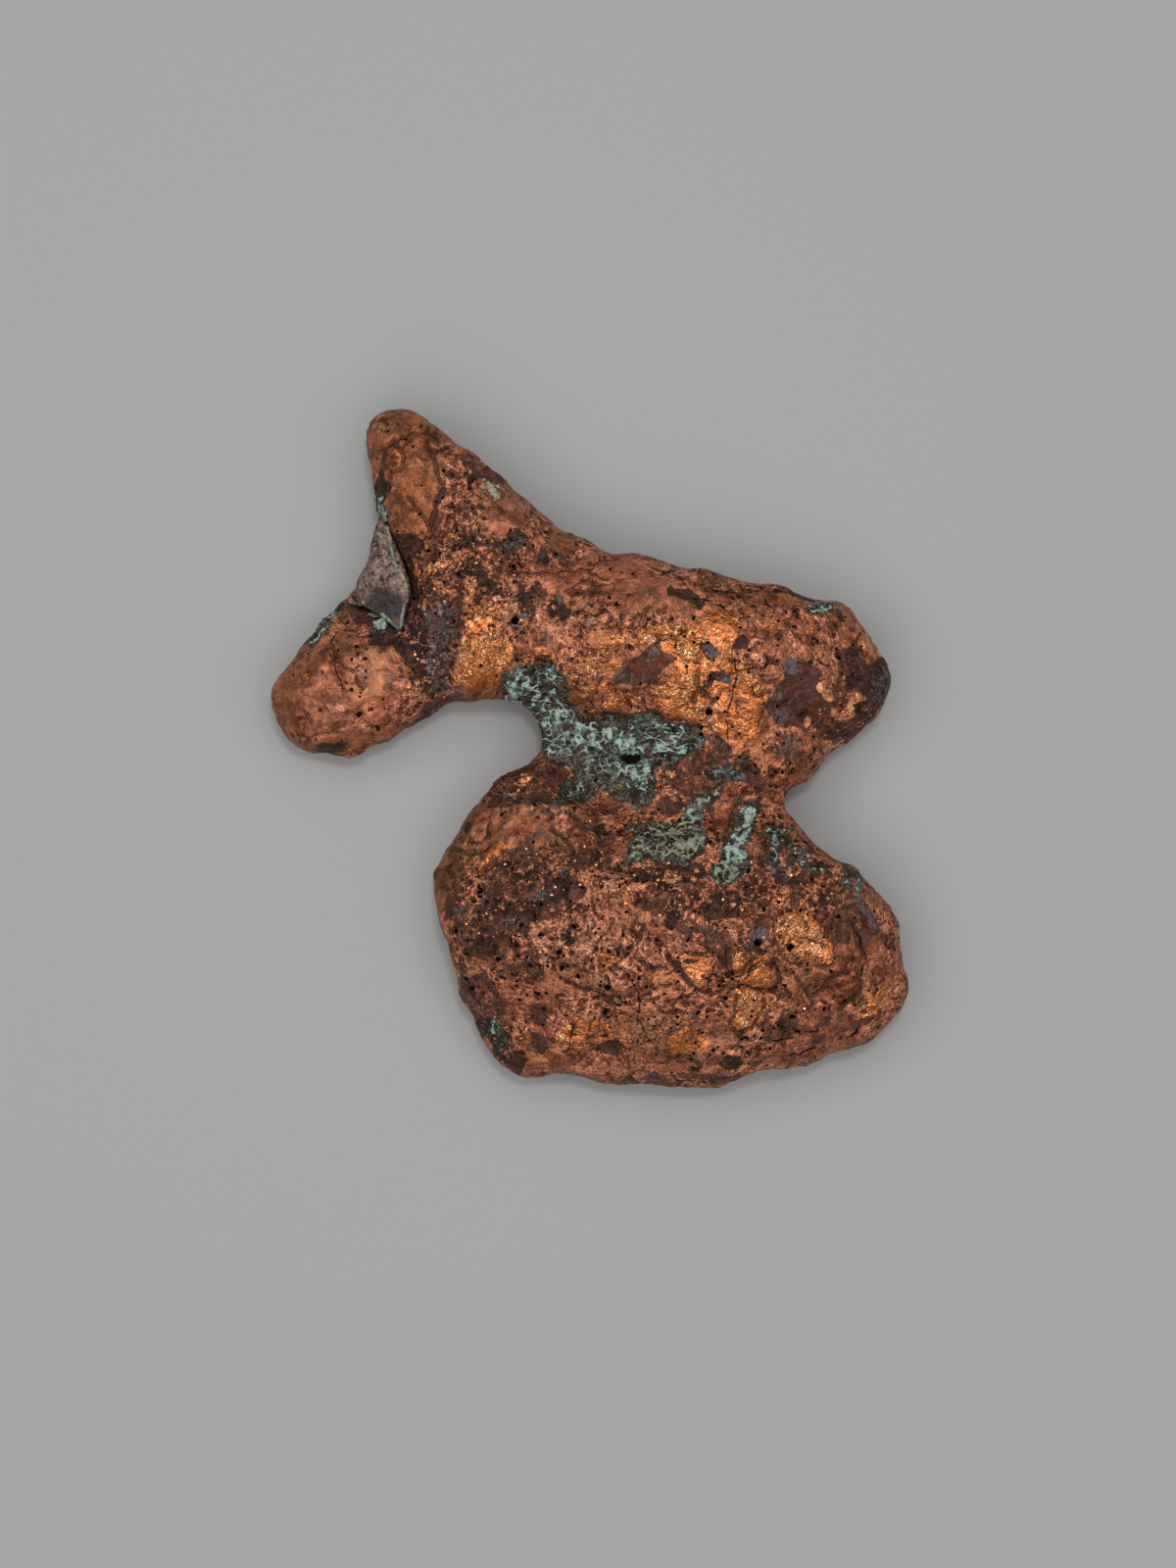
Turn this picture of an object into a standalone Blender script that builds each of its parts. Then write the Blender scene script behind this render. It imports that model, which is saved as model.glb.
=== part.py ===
"""A native copper nugget lying flat: one lump of metal with four limbs, and a chip of host rock in its fork.

Metres, +Z up. The origin is on the ground under the middle of the nugget's bounding box. The horn points to +Y,
the prong to -X, and the bar's round end to +X. The broad lower lobe lies to -Y, past the neck.
"""

import bmesh
import bpy
from mathutils import Matrix, Vector

MM = 0.001

# The metal is fused from beads at this voxel, and keeps this many triangles.
FUSE_VOXEL = 0.55 * MM
METAL_TRIANGLES = 6600
# The chip's own voxel and triangles, its seat's triangles, and the gap between the chip and the metal.
CHIP_VOXEL = 0.4 * MM
CHIP_TRIANGLES = 600
SEAT_TRIANGLES = 500
CHIP_GAP = 0.34 * MM

# A bead is a flattened ball. Above 2, its upright section is fuller than an ellipse, like a worn pebble's.
FULLNESS = 2.3
BEAD_STEP = 1.5 * MM
# The beads reach this far past the outline, which trims them.
OVERREACH = 0.5 * MM
TALLEST = 20.0 * MM

# Rounds of smoothing, before the outline trims the limbs and after.
BLEND_ROUNDS = 12
WEAR_ROUNDS = 7

# Low swells over the whole surface: how wide they are, and how high from dent to crest.
SWELL_WIDTH = 6.0 * MM
SWELL_HEIGHT = 1.3 * MM
CHIP_SWELL_WIDTH = 1.8 * MM
CHIP_SWELL_HEIGHT = 0.35 * MM

# Each limb is a run of stations in mm: x and y of the middle, its height z, the radius in plan, half the height.
HORN = [
    (-17.6, 28.2, 6.8, 3.0, 3.3),
    (-16.3, 26.4, 6.8, 4.1, 4.1),
    (-15.0, 24.2, 6.8, 5.2, 4.8),
    (-12.6, 20.8, 6.9, 6.2, 5.5),
    (-9.8, 16.6, 7.0, 6.9, 6.0),
    (-5.6, 12.6, 7.0, 7.0, 6.2),
]
BAR = [
    (-9.6, 11.2, 6.8, 6.4, 6.0),
    (-3.6, 11.2, 6.9, 7.0, 6.4),
    (1.8, 10.8, 6.9, 7.2, 6.6),
    (9.0, 9.0, 6.8, 7.8, 6.9),
    (15.3, 7.4, 6.6, 8.0, 7.0),
    (21.6, 7.4, 5.8, 6.1, 6.2),
]
PRONG = [
    (-24.0, 4.2, 4.8, 5.0, 5.0),
    (-21.4, 6.0, 5.0, 5.5, 5.3),
    (-18.0, 7.8, 5.5, 5.3, 5.4),
    (-13.8, 9.4, 6.0, 5.4, 5.3),
    (-9.8, 11.0, 6.8, 6.0, 5.9),
]
# The neck is thin and low between the bar and the lobe, and thickest on its +X side.
NECK = [
    (-3.2, 2.4, 5.6, 3.4, 3.0),
    (0.6, -0.4, 5.7, 4.8, 3.6),
    (6.0, -1.6, 5.9, 5.0, 4.2),
    (11.4, -2.2, 6.4, 5.0, 5.2),
    (15.0, -1.0, 6.4, 4.4, 5.4),
    (17.6, 1.4, 6.4, 4.6, 5.6),
]
LOBE = [
    (-4.8, -5.6, 6.4, 4.6, 4.9),
    (-5.8, -9.8, 6.4, 8.2, 5.6),
    (-4.0, -15.6, 6.6, 9.8, 6.2),
    (4.6, -16.8, 6.9, 11.4, 7.4),
    (10.6, -16.4, 6.9, 11.0, 7.6),
    (16.4, -14.4, 6.7, 8.8, 7.0),
    (20.6, -17.0, 6.2, 8.0, 6.2),
    (22.0, -20.4, 5.8, 6.8, 5.4),
]
# The lobe's lower rim, from the foot at its lower left to its pointed right end.
RIM = [
    (-5.6, -26.0, 5.0, 4.2, 4.2),
    (-1.6, -22.8, 5.8, 7.2, 5.4),
    (5.6, -22.2, 6.2, 8.8, 6.0),
    (11.8, -22.6, 6.2, 8.4, 6.0),
    (18.6, -21.6, 6.0, 6.8, 5.6),
    (22.6, -20.6, 5.8, 6.2, 5.2),
]
# A thin web of metal closes the fork from below, and the chip sits on it.
WEB = [
    (-20.2, 13.4, 3.6, 2.6, 2.2),
    (-17.2, 14.8, 3.8, 3.6, 2.8),
    (-14.6, 15.6, 4.6, 4.2, 3.6),
]
LIMBS = (HORN, BAR, PRONG, NECK, LOBE, RIM, WEB)

# The outline seen from above, clockwise from the horn's tip, as x and y in mm.
OUTLINE = [
    # the horn's tip and its long slope to the bar
    (-17.6, 31.2), (-14.8, 30.0), (-11.3, 27.4), (-8.2, 24.9), (-5.8, 23.0), (-2.7, 20.3), (0.8, 18.5),
    # the bar's top edge and its round end
    (5.9, 17.3), (9.6, 16.5), (13.5, 15.5), (18.1, 14.5), (21.7, 13.6), (24.3, 12.0), (26.2, 9.4), (27.4, 6.7),
    (27.1, 4.6), (25.6, 2.3),
    # back to the notch at the neck
    (22.6, -0.5), (20.9, -2.4), (17.7, -5.1), (18.7, -6.4), (20.7, -8.4),
    # the lobe's pointed right end
    (24.6, -11.3), (27.6, -14.9), (29.0, -19.4), (28.8, -23.1), (27.7, -24.9), (25.8, -26.6),
    # the lobe's lower edge, with its blunt tooth
    (23.3, -27.8), (20.9, -28.6), (16.8, -29.4), (13.8, -30.3), (12.1, -31.4), (10.0, -31.1), (5.0, -30.9),
    (0.2, -30.3), (-2.6, -29.8),
    # the foot at the lower left, and the lobe's left side
    (-4.6, -30.2), (-5.8, -30.4), (-8.0, -29.0), (-10.2, -26.4), (-10.9, -24.4), (-12.3, -20.9),
    (-13.3, -16.3), (-14.3, -11.5), (-12.7, -8.6), (-10.9, -5.4), (-8.6, -2.9), (-5.4, -1.4),
    # the neck's left side
    (-4.2, -0.4), (-4.4, 1.6), (-5.4, 3.8), (-7.2, 4.7),
    # under the bar, and round the prong's end
    (-11.4, 4.6), (-14.4, 3.1), (-18.0, 1.5), (-21.4, -0.2), (-24.0, -0.5), (-27.2, 1.0), (-28.9, 4.4),
    (-28.1, 6.8),
    # up the prong, past the chip in the fork, to the horn's tip
    (-26.4, 9.5), (-23.9, 12.4), (-21.0, 15.5), (-19.6, 19.4), (-19.4, 22.4), (-19.9, 24.8), (-20.4, 27.6),
    (-19.8, 30.4),
]

# The small hole through the neck's crust: its middle in mm, and its size across and along.
NECK_HOLE = (3.8, -0.8)
NECK_HOLE_WIDTH = 2.2 * MM
NECK_HOLE_DEPTH = 1.2 * MM

# The chip in plan, in mm, and the heights of its flat foot and its sloping top.
CHIP_PLAN = [
    (-19.1, 21.6), (-19.8, 19.2), (-20.4, 16.6), (-22.6, 13.9), (-20.2, 13.3), (-17.3, 10.9), (-16.5, 14.4),
    (-17.4, 17.6),
]
CHIP_FOOT = 3.6 * MM
CHIP_TOP = 9.6 * MM
CHIP_TOP_SLOPE = (-0.42, 0.12, 1.0)

COPPER = (0.45, 0.17, 0.07, 1.0)
ROCK = (0.38, 0.31, 0.29, 1.0)


def clear_scene():
    """Remove every object that the file opened with."""
    for obj in list(bpy.data.objects):
        bpy.data.objects.remove(obj, do_unlink=True)


def new_collection(name):
    """A collection under the scene's own."""
    collection = bpy.data.collections.new(name)
    bpy.context.scene.collection.children.link(collection)
    return collection


def new_material(name, colour, roughness, metallic):
    """A plain Principled material."""
    material = bpy.data.materials.new(name)
    material.use_nodes = True
    shader = material.node_tree.nodes["Principled BSDF"]
    shader.inputs["Base Color"].default_value = colour
    shader.inputs["Roughness"].default_value = roughness
    shader.inputs["Metallic"].default_value = metallic
    return material


def new_object(name, data, collection):
    """An object for the mesh or curve, at the origin."""
    obj = bpy.data.objects.new(name, data)
    collection.objects.link(obj)
    return obj


def bake(obj):
    """Give the object the mesh that its modifiers make, and drop the modifiers."""
    graph = bpy.context.evaluated_depsgraph_get()
    mesh = bpy.data.meshes.new_from_object(obj.evaluated_get(graph))
    obj.modifiers.clear()
    obj.data = mesh


def fuse(obj, voxel):
    """Make one skin round everything in the object."""
    remesh = obj.modifiers.new("fuse", "REMESH")
    remesh.mode = "VOXEL"
    remesh.voxel_size = voxel


def smooth(obj, rounds):
    """Relax the skin."""
    relax = obj.modifiers.new("relax", "SMOOTH")
    relax.factor = 0.5
    relax.iterations = rounds


def swell(obj, width, height):
    """Push the skin in and out by smooth noise."""
    noise = bpy.data.textures.new(obj.name + "_swell", "CLOUDS")
    noise.noise_scale = width
    noise.noise_depth = 1
    push = obj.modifiers.new("swell", "DISPLACE")
    push.texture = noise
    push.texture_coords = "LOCAL"
    push.strength = height
    push.mid_level = 0.5


def grow(obj, distance):
    """Push the skin outward by the distance."""
    push = obj.modifiers.new("grow", "DISPLACE")
    push.strength = distance
    push.mid_level = 0.0


def cut(obj, cutter, operation):
    """Boolean the cutter into the object."""
    boolean = obj.modifiers.new(operation.lower(), "BOOLEAN")
    boolean.operation = operation
    boolean.object = cutter
    boolean.solver = "EXACT"


def thin_out(obj, triangles):
    """Bake the object, and thin its mesh to about so many triangles."""
    bake(obj)
    count = sum(len(face.vertices) - 2 for face in obj.data.polygons)
    thin = obj.modifiers.new("thin", "DECIMATE")
    thin.ratio = triangles / count
    thin.use_collapse_triangulate = True


def hide_as_cutter(obj):
    """Mark the object as a cutter."""
    obj.hide_render = True
    obj.display_type = "WIRE"


def along(limb):
    """Yield a bead for each step along the limb, blended between its stations."""
    for start, end in zip(limb, limb[1:]):
        first, last = Vector(start[:]), Vector(end[:])
        length = (last.to_2d() - first.to_2d()).length * MM
        steps = max(1, round(length / BEAD_STEP))
        for step in range(steps):
            share = step / steps
            yield [a + (b - a) * share for a, b in zip(start, end)]
    yield limb[-1]


def add_bead(bm, bead):
    """Add one flattened ball, fuller than an ellipsoid in its upright section."""
    x, y, z, radius, half_height = (value * MM for value in bead)
    ball = bmesh.ops.create_icosphere(bm, subdivisions=3, radius=1.0)["verts"]
    for vert in ball:
        reach = vert.co.to_2d().length ** FULLNESS + abs(vert.co.z) ** FULLNESS
        vert.co /= reach ** (1 / FULLNESS)
    size = Matrix.Diagonal((radius + OVERREACH, radius + OVERREACH, half_height, 1.0))
    bmesh.ops.transform(bm, matrix=Matrix.Translation((x, y, z)) @ size, verts=ball)


def bead_mesh(limbs):
    """All the limbs' beads in one mesh."""
    bm = bmesh.new()
    for limb in limbs:
        for bead in along(limb):
            add_bead(bm, bead)
    mesh = bpy.data.meshes.new("beads")
    bm.to_mesh(mesh)
    bm.free()
    return mesh


def upright_prism(name, points, collection, handles):
    """A closed prism round the z axis's height range, from an outline in mm."""
    curve = bpy.data.curves.new(name, "CURVE")
    curve.dimensions = "2D"
    curve.fill_mode = "BOTH"
    curve.extrude = TALLEST
    curve.resolution_u = 4
    spline = curve.splines.new("BEZIER")
    spline.bezier_points.add(len(points) - 1)
    for bezier_point, (x, y) in zip(spline.bezier_points, points):
        bezier_point.co = (x * MM, y * MM, 0.0)
        bezier_point.handle_left_type = handles
        bezier_point.handle_right_type = handles
    spline.use_cyclic_u = True
    outline = new_object(name + "_curve", curve, collection)
    graph = bpy.context.evaluated_depsgraph_get()
    mesh = bpy.data.meshes.new_from_object(outline.evaluated_get(graph))
    bpy.data.objects.remove(outline, do_unlink=True)
    bm = bmesh.new()
    bm.from_mesh(mesh)
    bmesh.ops.remove_doubles(bm, verts=bm.verts, dist=0.01 * MM)
    bmesh.ops.recalc_face_normals(bm, faces=bm.faces)
    bm.to_mesh(mesh)
    bm.free()
    prism = new_object(name, mesh, collection)
    hide_as_cutter(prism)
    return prism


def keep_above(bm, point, normal):
    """Cut the mesh flat, and keep the side that the normal points to."""
    everything = bm.verts[:] + bm.edges[:] + bm.faces[:]
    cut_edges = bmesh.ops.bisect_plane(
        bm, geom=everything, plane_co=point, plane_no=normal, clear_inner=True
    )["geom_cut"]
    rim = [item for item in cut_edges if isinstance(item, bmesh.types.BMEdge)]
    bmesh.ops.holes_fill(bm, edges=rim)
    bmesh.ops.triangulate(bm, faces=[face for face in bm.faces if len(face.verts) > 3])


def make_chip(collection, cutters):
    """The chip of rock: its plan cut off at the foot and along the sloping top, then worn."""
    prism = upright_prism("chip_plan", CHIP_PLAN, cutters, "VECTOR")
    bm = bmesh.new()
    bm.from_mesh(prism.data)
    keep_above(bm, (0.0, 0.0, CHIP_FOOT), (0.0, 0.0, 1.0))
    middle = Vector((CHIP_PLAN[2][0] * MM, CHIP_PLAN[2][1] * MM, CHIP_TOP))
    keep_above(bm, middle, -Vector(CHIP_TOP_SLOPE))
    mesh = bpy.data.meshes.new("matrix_rock")
    bm.to_mesh(mesh)
    bm.free()
    bpy.data.objects.remove(prism, do_unlink=True)

    chip = new_object("matrix_rock", mesh, collection)
    fuse(chip, CHIP_VOXEL)
    smooth(chip, 3)
    swell(chip, CHIP_SWELL_WIDTH, CHIP_SWELL_HEIGHT)
    thin_out(chip, CHIP_TRIANGLES)
    bake(chip)
    return chip


def make_socket(chip, cutters):
    """The chip grown by the gap, to cut its seat in the metal."""
    socket = new_object("chip_socket", chip.data.copy(), cutters)
    fuse(socket, CHIP_VOXEL)
    grow(socket, CHIP_GAP)
    thin_out(socket, SEAT_TRIANGLES)
    bake(socket)
    hide_as_cutter(socket)
    return socket


def make_hole(cutters):
    """An upright oval rod for the hole in the neck."""
    bpy.ops.mesh.primitive_cylinder_add(vertices=20, radius=0.5, depth=2 * TALLEST)
    hole = bpy.context.object
    hole.name = "neck_hole"
    hole.scale = (NECK_HOLE_WIDTH, NECK_HOLE_DEPTH, 1.0)
    hole.location = (NECK_HOLE[0] * MM, NECK_HOLE[1] * MM, 0.0)
    for home in list(hole.users_collection):
        home.objects.unlink(hole)
    cutters.objects.link(hole)
    hide_as_cutter(hole)
    return hole


def make_metal(collection, cutters, socket):
    """The nugget: beads fused, trimmed to the outline, worn, and cut flat where it rests."""
    metal = new_object("copper_nugget", bead_mesh(LIMBS), collection)
    fuse(metal, FUSE_VOXEL)
    smooth(metal, BLEND_ROUNDS)
    cut(metal, upright_prism("outline", OUTLINE, cutters, "AUTO"), "INTERSECT")
    fuse(metal, FUSE_VOXEL)
    smooth(metal, WEAR_ROUNDS)
    swell(metal, SWELL_WIDTH, SWELL_HEIGHT)
    thin_out(metal, METAL_TRIANGLES)
    cut(metal, make_hole(cutters), "DIFFERENCE")
    cut(metal, socket, "DIFFERENCE")
    bake(metal)

    bm = bmesh.new()
    bm.from_mesh(metal.data)
    keep_above(bm, (0.0, 0.0, 0.0), (0.0, 0.0, 1.0))
    bm.to_mesh(metal.data)
    bm.free()
    return metal


def main():
    """Build both pieces."""
    clear_scene()
    pieces = new_collection("native_copper_nugget")
    cutters = new_collection("cutters")
    chip = make_chip(pieces, cutters)
    metal = make_metal(pieces, cutters, make_socket(chip, cutters))
    for obj, material in (
        (metal, new_material("native_copper", COPPER, 0.42, 1.0)),
        (chip, new_material("matrix_rock", ROCK, 0.85, 0.0)),
    ):
        obj.data.materials.clear()
        obj.data.materials.append(material)
        obj.data.shade_smooth()


main()
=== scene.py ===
"""A native copper nugget on a pale table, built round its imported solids.

The metal is one skin with its relief modelled in the mesh. Its minerals are painted on as attributes, so
that one patch of the skin carries the shape, the colour and the gloss of one mineral. Lengths in the tables
are in mm.
"""

import math

import bmesh
import bpy
import numpy as np
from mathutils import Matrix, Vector, noise
from mathutils.bvhtree import BVHTree


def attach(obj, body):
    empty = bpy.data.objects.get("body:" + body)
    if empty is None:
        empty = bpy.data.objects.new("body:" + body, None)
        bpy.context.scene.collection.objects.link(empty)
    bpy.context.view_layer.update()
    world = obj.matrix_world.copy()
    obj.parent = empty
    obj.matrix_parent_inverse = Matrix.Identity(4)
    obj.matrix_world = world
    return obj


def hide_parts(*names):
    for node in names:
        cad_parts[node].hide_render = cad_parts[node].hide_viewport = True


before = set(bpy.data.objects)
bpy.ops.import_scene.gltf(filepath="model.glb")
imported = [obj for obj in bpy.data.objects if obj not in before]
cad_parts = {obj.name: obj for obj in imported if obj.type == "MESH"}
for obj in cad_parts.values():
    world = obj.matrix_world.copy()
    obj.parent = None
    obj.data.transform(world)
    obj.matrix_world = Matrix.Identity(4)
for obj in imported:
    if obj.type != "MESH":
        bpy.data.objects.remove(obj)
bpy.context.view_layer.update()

# ----------------------------------------------------------------------------------------------------------
# The bare metal: a natural casting of copper that filled a gap in its rock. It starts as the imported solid,
# whose loose triangles are joined, skinned finely and relaxed until no facet shows.
# ----------------------------------------------------------------------------------------------------------

MM = 0.001
SKIN_VOXEL = 0.288
SKIN_RELAX = 14


def skinned_copy(node, name, voxel, relax):
    """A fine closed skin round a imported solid, as a new object."""
    bm = bmesh.new()
    bm.from_mesh(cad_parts[node].data)
    bmesh.ops.remove_doubles(bm, verts=bm.verts, dist=0.001 * MM)
    obj = new_object(name, bm)
    remesh = obj.modifiers.new("skin", "REMESH")
    remesh.mode = "VOXEL"
    remesh.voxel_size = voxel * MM
    smooth = obj.modifiers.new("relax", "SMOOTH")
    smooth.factor = 0.5
    smooth.iterations = relax
    return settled(obj)


def new_object(name, bm):
    """An object of what bmesh holds, at the origin."""
    mesh = bpy.data.meshes.new(name)
    bm.to_mesh(mesh)
    bm.free()
    obj = bpy.data.objects.new(name, mesh)
    bpy.context.scene.collection.objects.link(obj)
    return obj


def settled(obj):
    """Replace the object's mesh by what its modifiers make of it, and drop them."""
    graph = bpy.context.evaluated_depsgraph_get()
    mesh = bpy.data.meshes.new_from_object(obj.evaluated_get(graph))
    obj.modifiers.clear()
    obj.data = mesh
    return obj


def points_of(mesh):
    """The mesh's points in mm and its unit normals, as arrays."""
    places = np.empty(len(mesh.vertices) * 3)
    mesh.vertices.foreach_get("co", places)
    normals = np.empty(len(mesh.vertices) * 3)
    mesh.vertex_normals.foreach_get("vector", normals)
    return places.reshape(-1, 3) / MM, normals.reshape(-1, 3)


def move_points(mesh, places):
    """Put the mesh's points at these places, in mm."""
    mesh.vertices.foreach_set("co", (places * MM).ravel())
    mesh.update()


def paint(mesh, fields):
    """Store each named field on the mesh's points."""
    for name, values in fields.items():
        mesh.attributes.new(name, "FLOAT", "POINT").data.foreach_set("value", values.astype(np.float32))


metal = skinned_copy("copper_nugget", "native_copper_nugget", SKIN_VOXEL, SKIN_RELAX)
places, normals = points_of(metal.data)

# ----------------------------------------------------------------------------------------------------------
# How a mark is laid on the skin. A mark is a field over the skin's points: the depth inside its edge in
# units of 1.8 mm, plus a half. So it is above 0.5 inside the mark and below it outside, and the finish can
# cut it anywhere.
# ----------------------------------------------------------------------------------------------------------

EDGE_UNIT = 1.8
CLEAR = -0.4
FAR_AWAY = 1000.0
WEAKEST_TOP = 0.2
TOP_RANGE = 0.9
NOISE_SEED = 4

# the vector noise would otherwise start from the clock, and every mark would wander from run to run
noise.seed_set(NOISE_SEED)


def grain(spots, size, octaves=3, seed=0.0):
    """Smooth noise from about -1 to 1, with features of this size in mm."""
    shift = Vector((seed * 17.3, seed * -9.1, seed * 5.7))
    return np.array([noise.fractal(Vector(spot) / size + shift, 0.9, 2.1, octaves) for spot in spots])


def ridges(spots, size, seed=0.0, sharpness=3.2):
    """Noise from 0 to 1 that stands up in sharp winding crests."""
    return 1.0 - np.minimum(np.abs(grain(spots, size, 2, seed)) * sharpness, 1.0)


def jostle(spots, size, far):
    """The points moved about by smooth noise, by up to this far."""
    return np.array([Vector(spot) + noise.noise_vector(Vector(spot) / size) * far for spot in spots])


def soft_step(values, low, high):
    """0 below low, 1 above high, and smooth between."""
    share = np.clip((values - low) / (high - low), 0.0, 1.0)
    return share * share * (3.0 - 2.0 * share)


def mark(depth, strength):
    """A mark's field, from how deep each point lies inside its edge. A weak one has a low, flat top."""
    return np.clip(0.5 + depth / EDGE_UNIT, CLEAR, WEAKEST_TOP + TOP_RANGE * strength)


def blot(spots, x, y, half_length, half_width, strength=1.0, turn=0.0):
    """An oval seen from above, turned by some degrees."""
    angle = math.radians(turn)
    east, north = spots[:, 0] - x, spots[:, 1] - y
    along = (east * math.cos(angle) + north * math.sin(angle)) / half_length
    across = (north * math.cos(angle) - east * math.sin(angle)) / half_width
    return mark((1.0 - np.hypot(along, across)) * min(half_length, half_width), strength)


def blots(spots, ovals):
    """All the ovals, each (x, y, half length, half width), then its strength and turn where they matter."""
    field = np.full(len(spots), CLEAR)
    for oval in ovals:
        field = np.maximum(field, blot(spots, *oval))
    return field


def nearest_on(spots, start, end):
    """How far each point is from a line seen from above, how far along it, and on which side."""
    start, step = np.array(start), np.subtract(end, start)
    offset = spots[:, :2] - start
    along = (offset @ step) / (step @ step)
    gap = np.linalg.norm(offset - np.clip(along, 0.0, 1.0)[:, None] * step, axis=1)
    side = np.where(step[0] * offset[:, 1] - step[1] * offset[:, 0] > 0, 1.0, -1.0)
    return gap, along, side


def patches(spots, outlines):
    """Patches seen from above, each a strength and its corners."""
    field = np.full(len(spots), CLEAR)
    for strength, corners in outlines:
        gap = np.full(len(spots), FAR_AWAY)
        inside = np.zeros(len(spots), bool)
        for (x0, y0), (x1, y1) in zip(corners, corners[1:] + corners[:1]):
            gap = np.minimum(gap, nearest_on(spots, (x0, y0), (x1, y1))[0])
            if y0 != y1:
                crosses = (spots[:, 1] > y0) != (spots[:, 1] > y1)
                inside ^= crosses & (spots[:, 0] < x0 + (spots[:, 1] - y0) / (y1 - y0) * (x1 - x0))
        field = np.maximum(field, mark(np.where(inside, gap, -gap), strength))
    return field


def streaks(spots, runs):
    """Streaks seen from above, each a half width, a strength and its points."""
    field = np.full(len(spots), CLEAR)
    for width, strength, run in runs:
        for start, end in zip(run, run[1:]):
            field = np.maximum(field, mark(width - nearest_on(spots, start, end)[0], strength))
    return field


# marks seen from above stay off the underside, which has its own, and are cut at wandering points, so that
# no edge is smooth
upper = soft_step(normals[:, 2], -0.35, 0.05)
drift = jostle(jostle(places, 2.0, 0.45), 0.8, 0.25)


def marks(ovals=(), outlines=(), runs=(), beneath=None):
    """All of one mineral's marks: those seen from above, and its noise on the underside."""
    field = np.maximum(np.maximum(blots(drift, ovals), patches(drift, outlines)), streaks(drift, runs))
    field = field * upper + CLEAR * (1.0 - upper)
    if beneath is not None:
        field = np.maximum(field, beneath * (1.0 - upper) + CLEAR * upper)
    return field


def islands(size, octaves, seed, low, high, most, least):
    """Noise for the underside, cut into islands: the least between them, and the most added on them."""
    return soft_step(grain(places, size, octaves, seed), low, high) * most + least


# ----------------------------------------------------------------------------------------------------------
# Malachite on the metal: the neck and the lobe's crown are stained dark green-black. The pale crust, which
# has its own section further down, grows out of these stains.
# ----------------------------------------------------------------------------------------------------------

# a patch is its strength and its corners, and a streak its half width, its strength and its points
MALACHITE_PATCHES = [
    (0.9, [(-8.1, 5.8), (-7.4, 7.0), (-3.6, 7.7), (-2.1, 6.8), (-2.1, 4.6), (-0.4, 2.9), (3.5, 2.7),
     (6.0, 2.8), (8.9, 2.3), (10.7, 0.7), (9.8, -0.1), (7.5, -1.3), (6.2, -0.8), (6.0, -2.4), (6.2, -4.4),
     (4.9, -5.1), (3.5, -4.6), (2.4, -4.4), (1.4, -3.4), (0.7, -2.6), (0.5, -4.6), (-0.8, -4.9),
     (-3.0, -4.7), (-2.6, -3.4), (-1.4, -2.6), (-1.6, -1.5), (-3.4, -1.7), (-4.3, 0.4), (-4.7, 2.2),
     (-5.2, 3.9), (-7.2, 4.6)]),
    (0.75, [(11.8, -3.5), (12.0, -4.3), (10.2, -5.7), (10.0, -7.1), (10.8, -8.2), (10.4, -9.6),
     (9.3, -10.2), (6.5, -10.2), (3.6, -10.4), (3.7, -7.4), (4.9, -6.6), (6.9, -6.5), (8.5, -6.5),
     (8.7, -5.5), (9.6, -4.7), (10.8, -3.9)]),
    (1.0, [(14.5, -4.8), (15.5, -5.3), (15.1, -7.1), (14.1, -8.6), (14.5, -10.6), (13.2, -12.1),
     (11.4, -12.3), (11.2, -10.6), (12.2, -9.6), (12.3, -8.0), (13.3, -6.4), (14.0, -5.0)]),
]
MALACHITE_STREAKS = [
    (0.5, 0.8, [(17.1, -7.3), (17.1, -10.0)]), (0.45, 0.8, [(18.0, -7.8), (19.4, -10.0)]),
    (0.5, 0.7, [(11.2, -2.4), (13.4, -2.2)]), (0.4, 0.7, [(-25.4, 9.8), (-24.2, 11.4), (-22.8, 12.9)]),
    (0.4, 0.6, [(20.2, 12.8), (21.6, 12.6)]), (0.5, 0.8, [(-19.2, 22.2), (-18.9, 20.2)]),
    (0.45, 0.5, [(-8.8, -25.2), (-8.2, -27.0)]),
]
# an oval is its middle, its half length and half width, then its strength and its turn in degrees
MALACHITE = [(-19.3, 11.3, 0.65, 0.5), (21.0, -10.5, 0.6, 0.4, 0.8), (24.0, -12.0, 0.5, 0.9, 0.3, 30)]
malachite = marks(
    MALACHITE, MALACHITE_PATCHES, MALACHITE_STREAKS, beneath=islands(4.0, 3, 6.0, 0.35, 0.8, 0.8, -0.1)
)

# ----------------------------------------------------------------------------------------------------------
# Tenorite: near-black oxide in the fork, on the bar's end and in scattered scabs. Cuprite: the red-brown to
# purple oxide under and round the black, in smooth half-glossy scales with ragged edges.
# ----------------------------------------------------------------------------------------------------------

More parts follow.
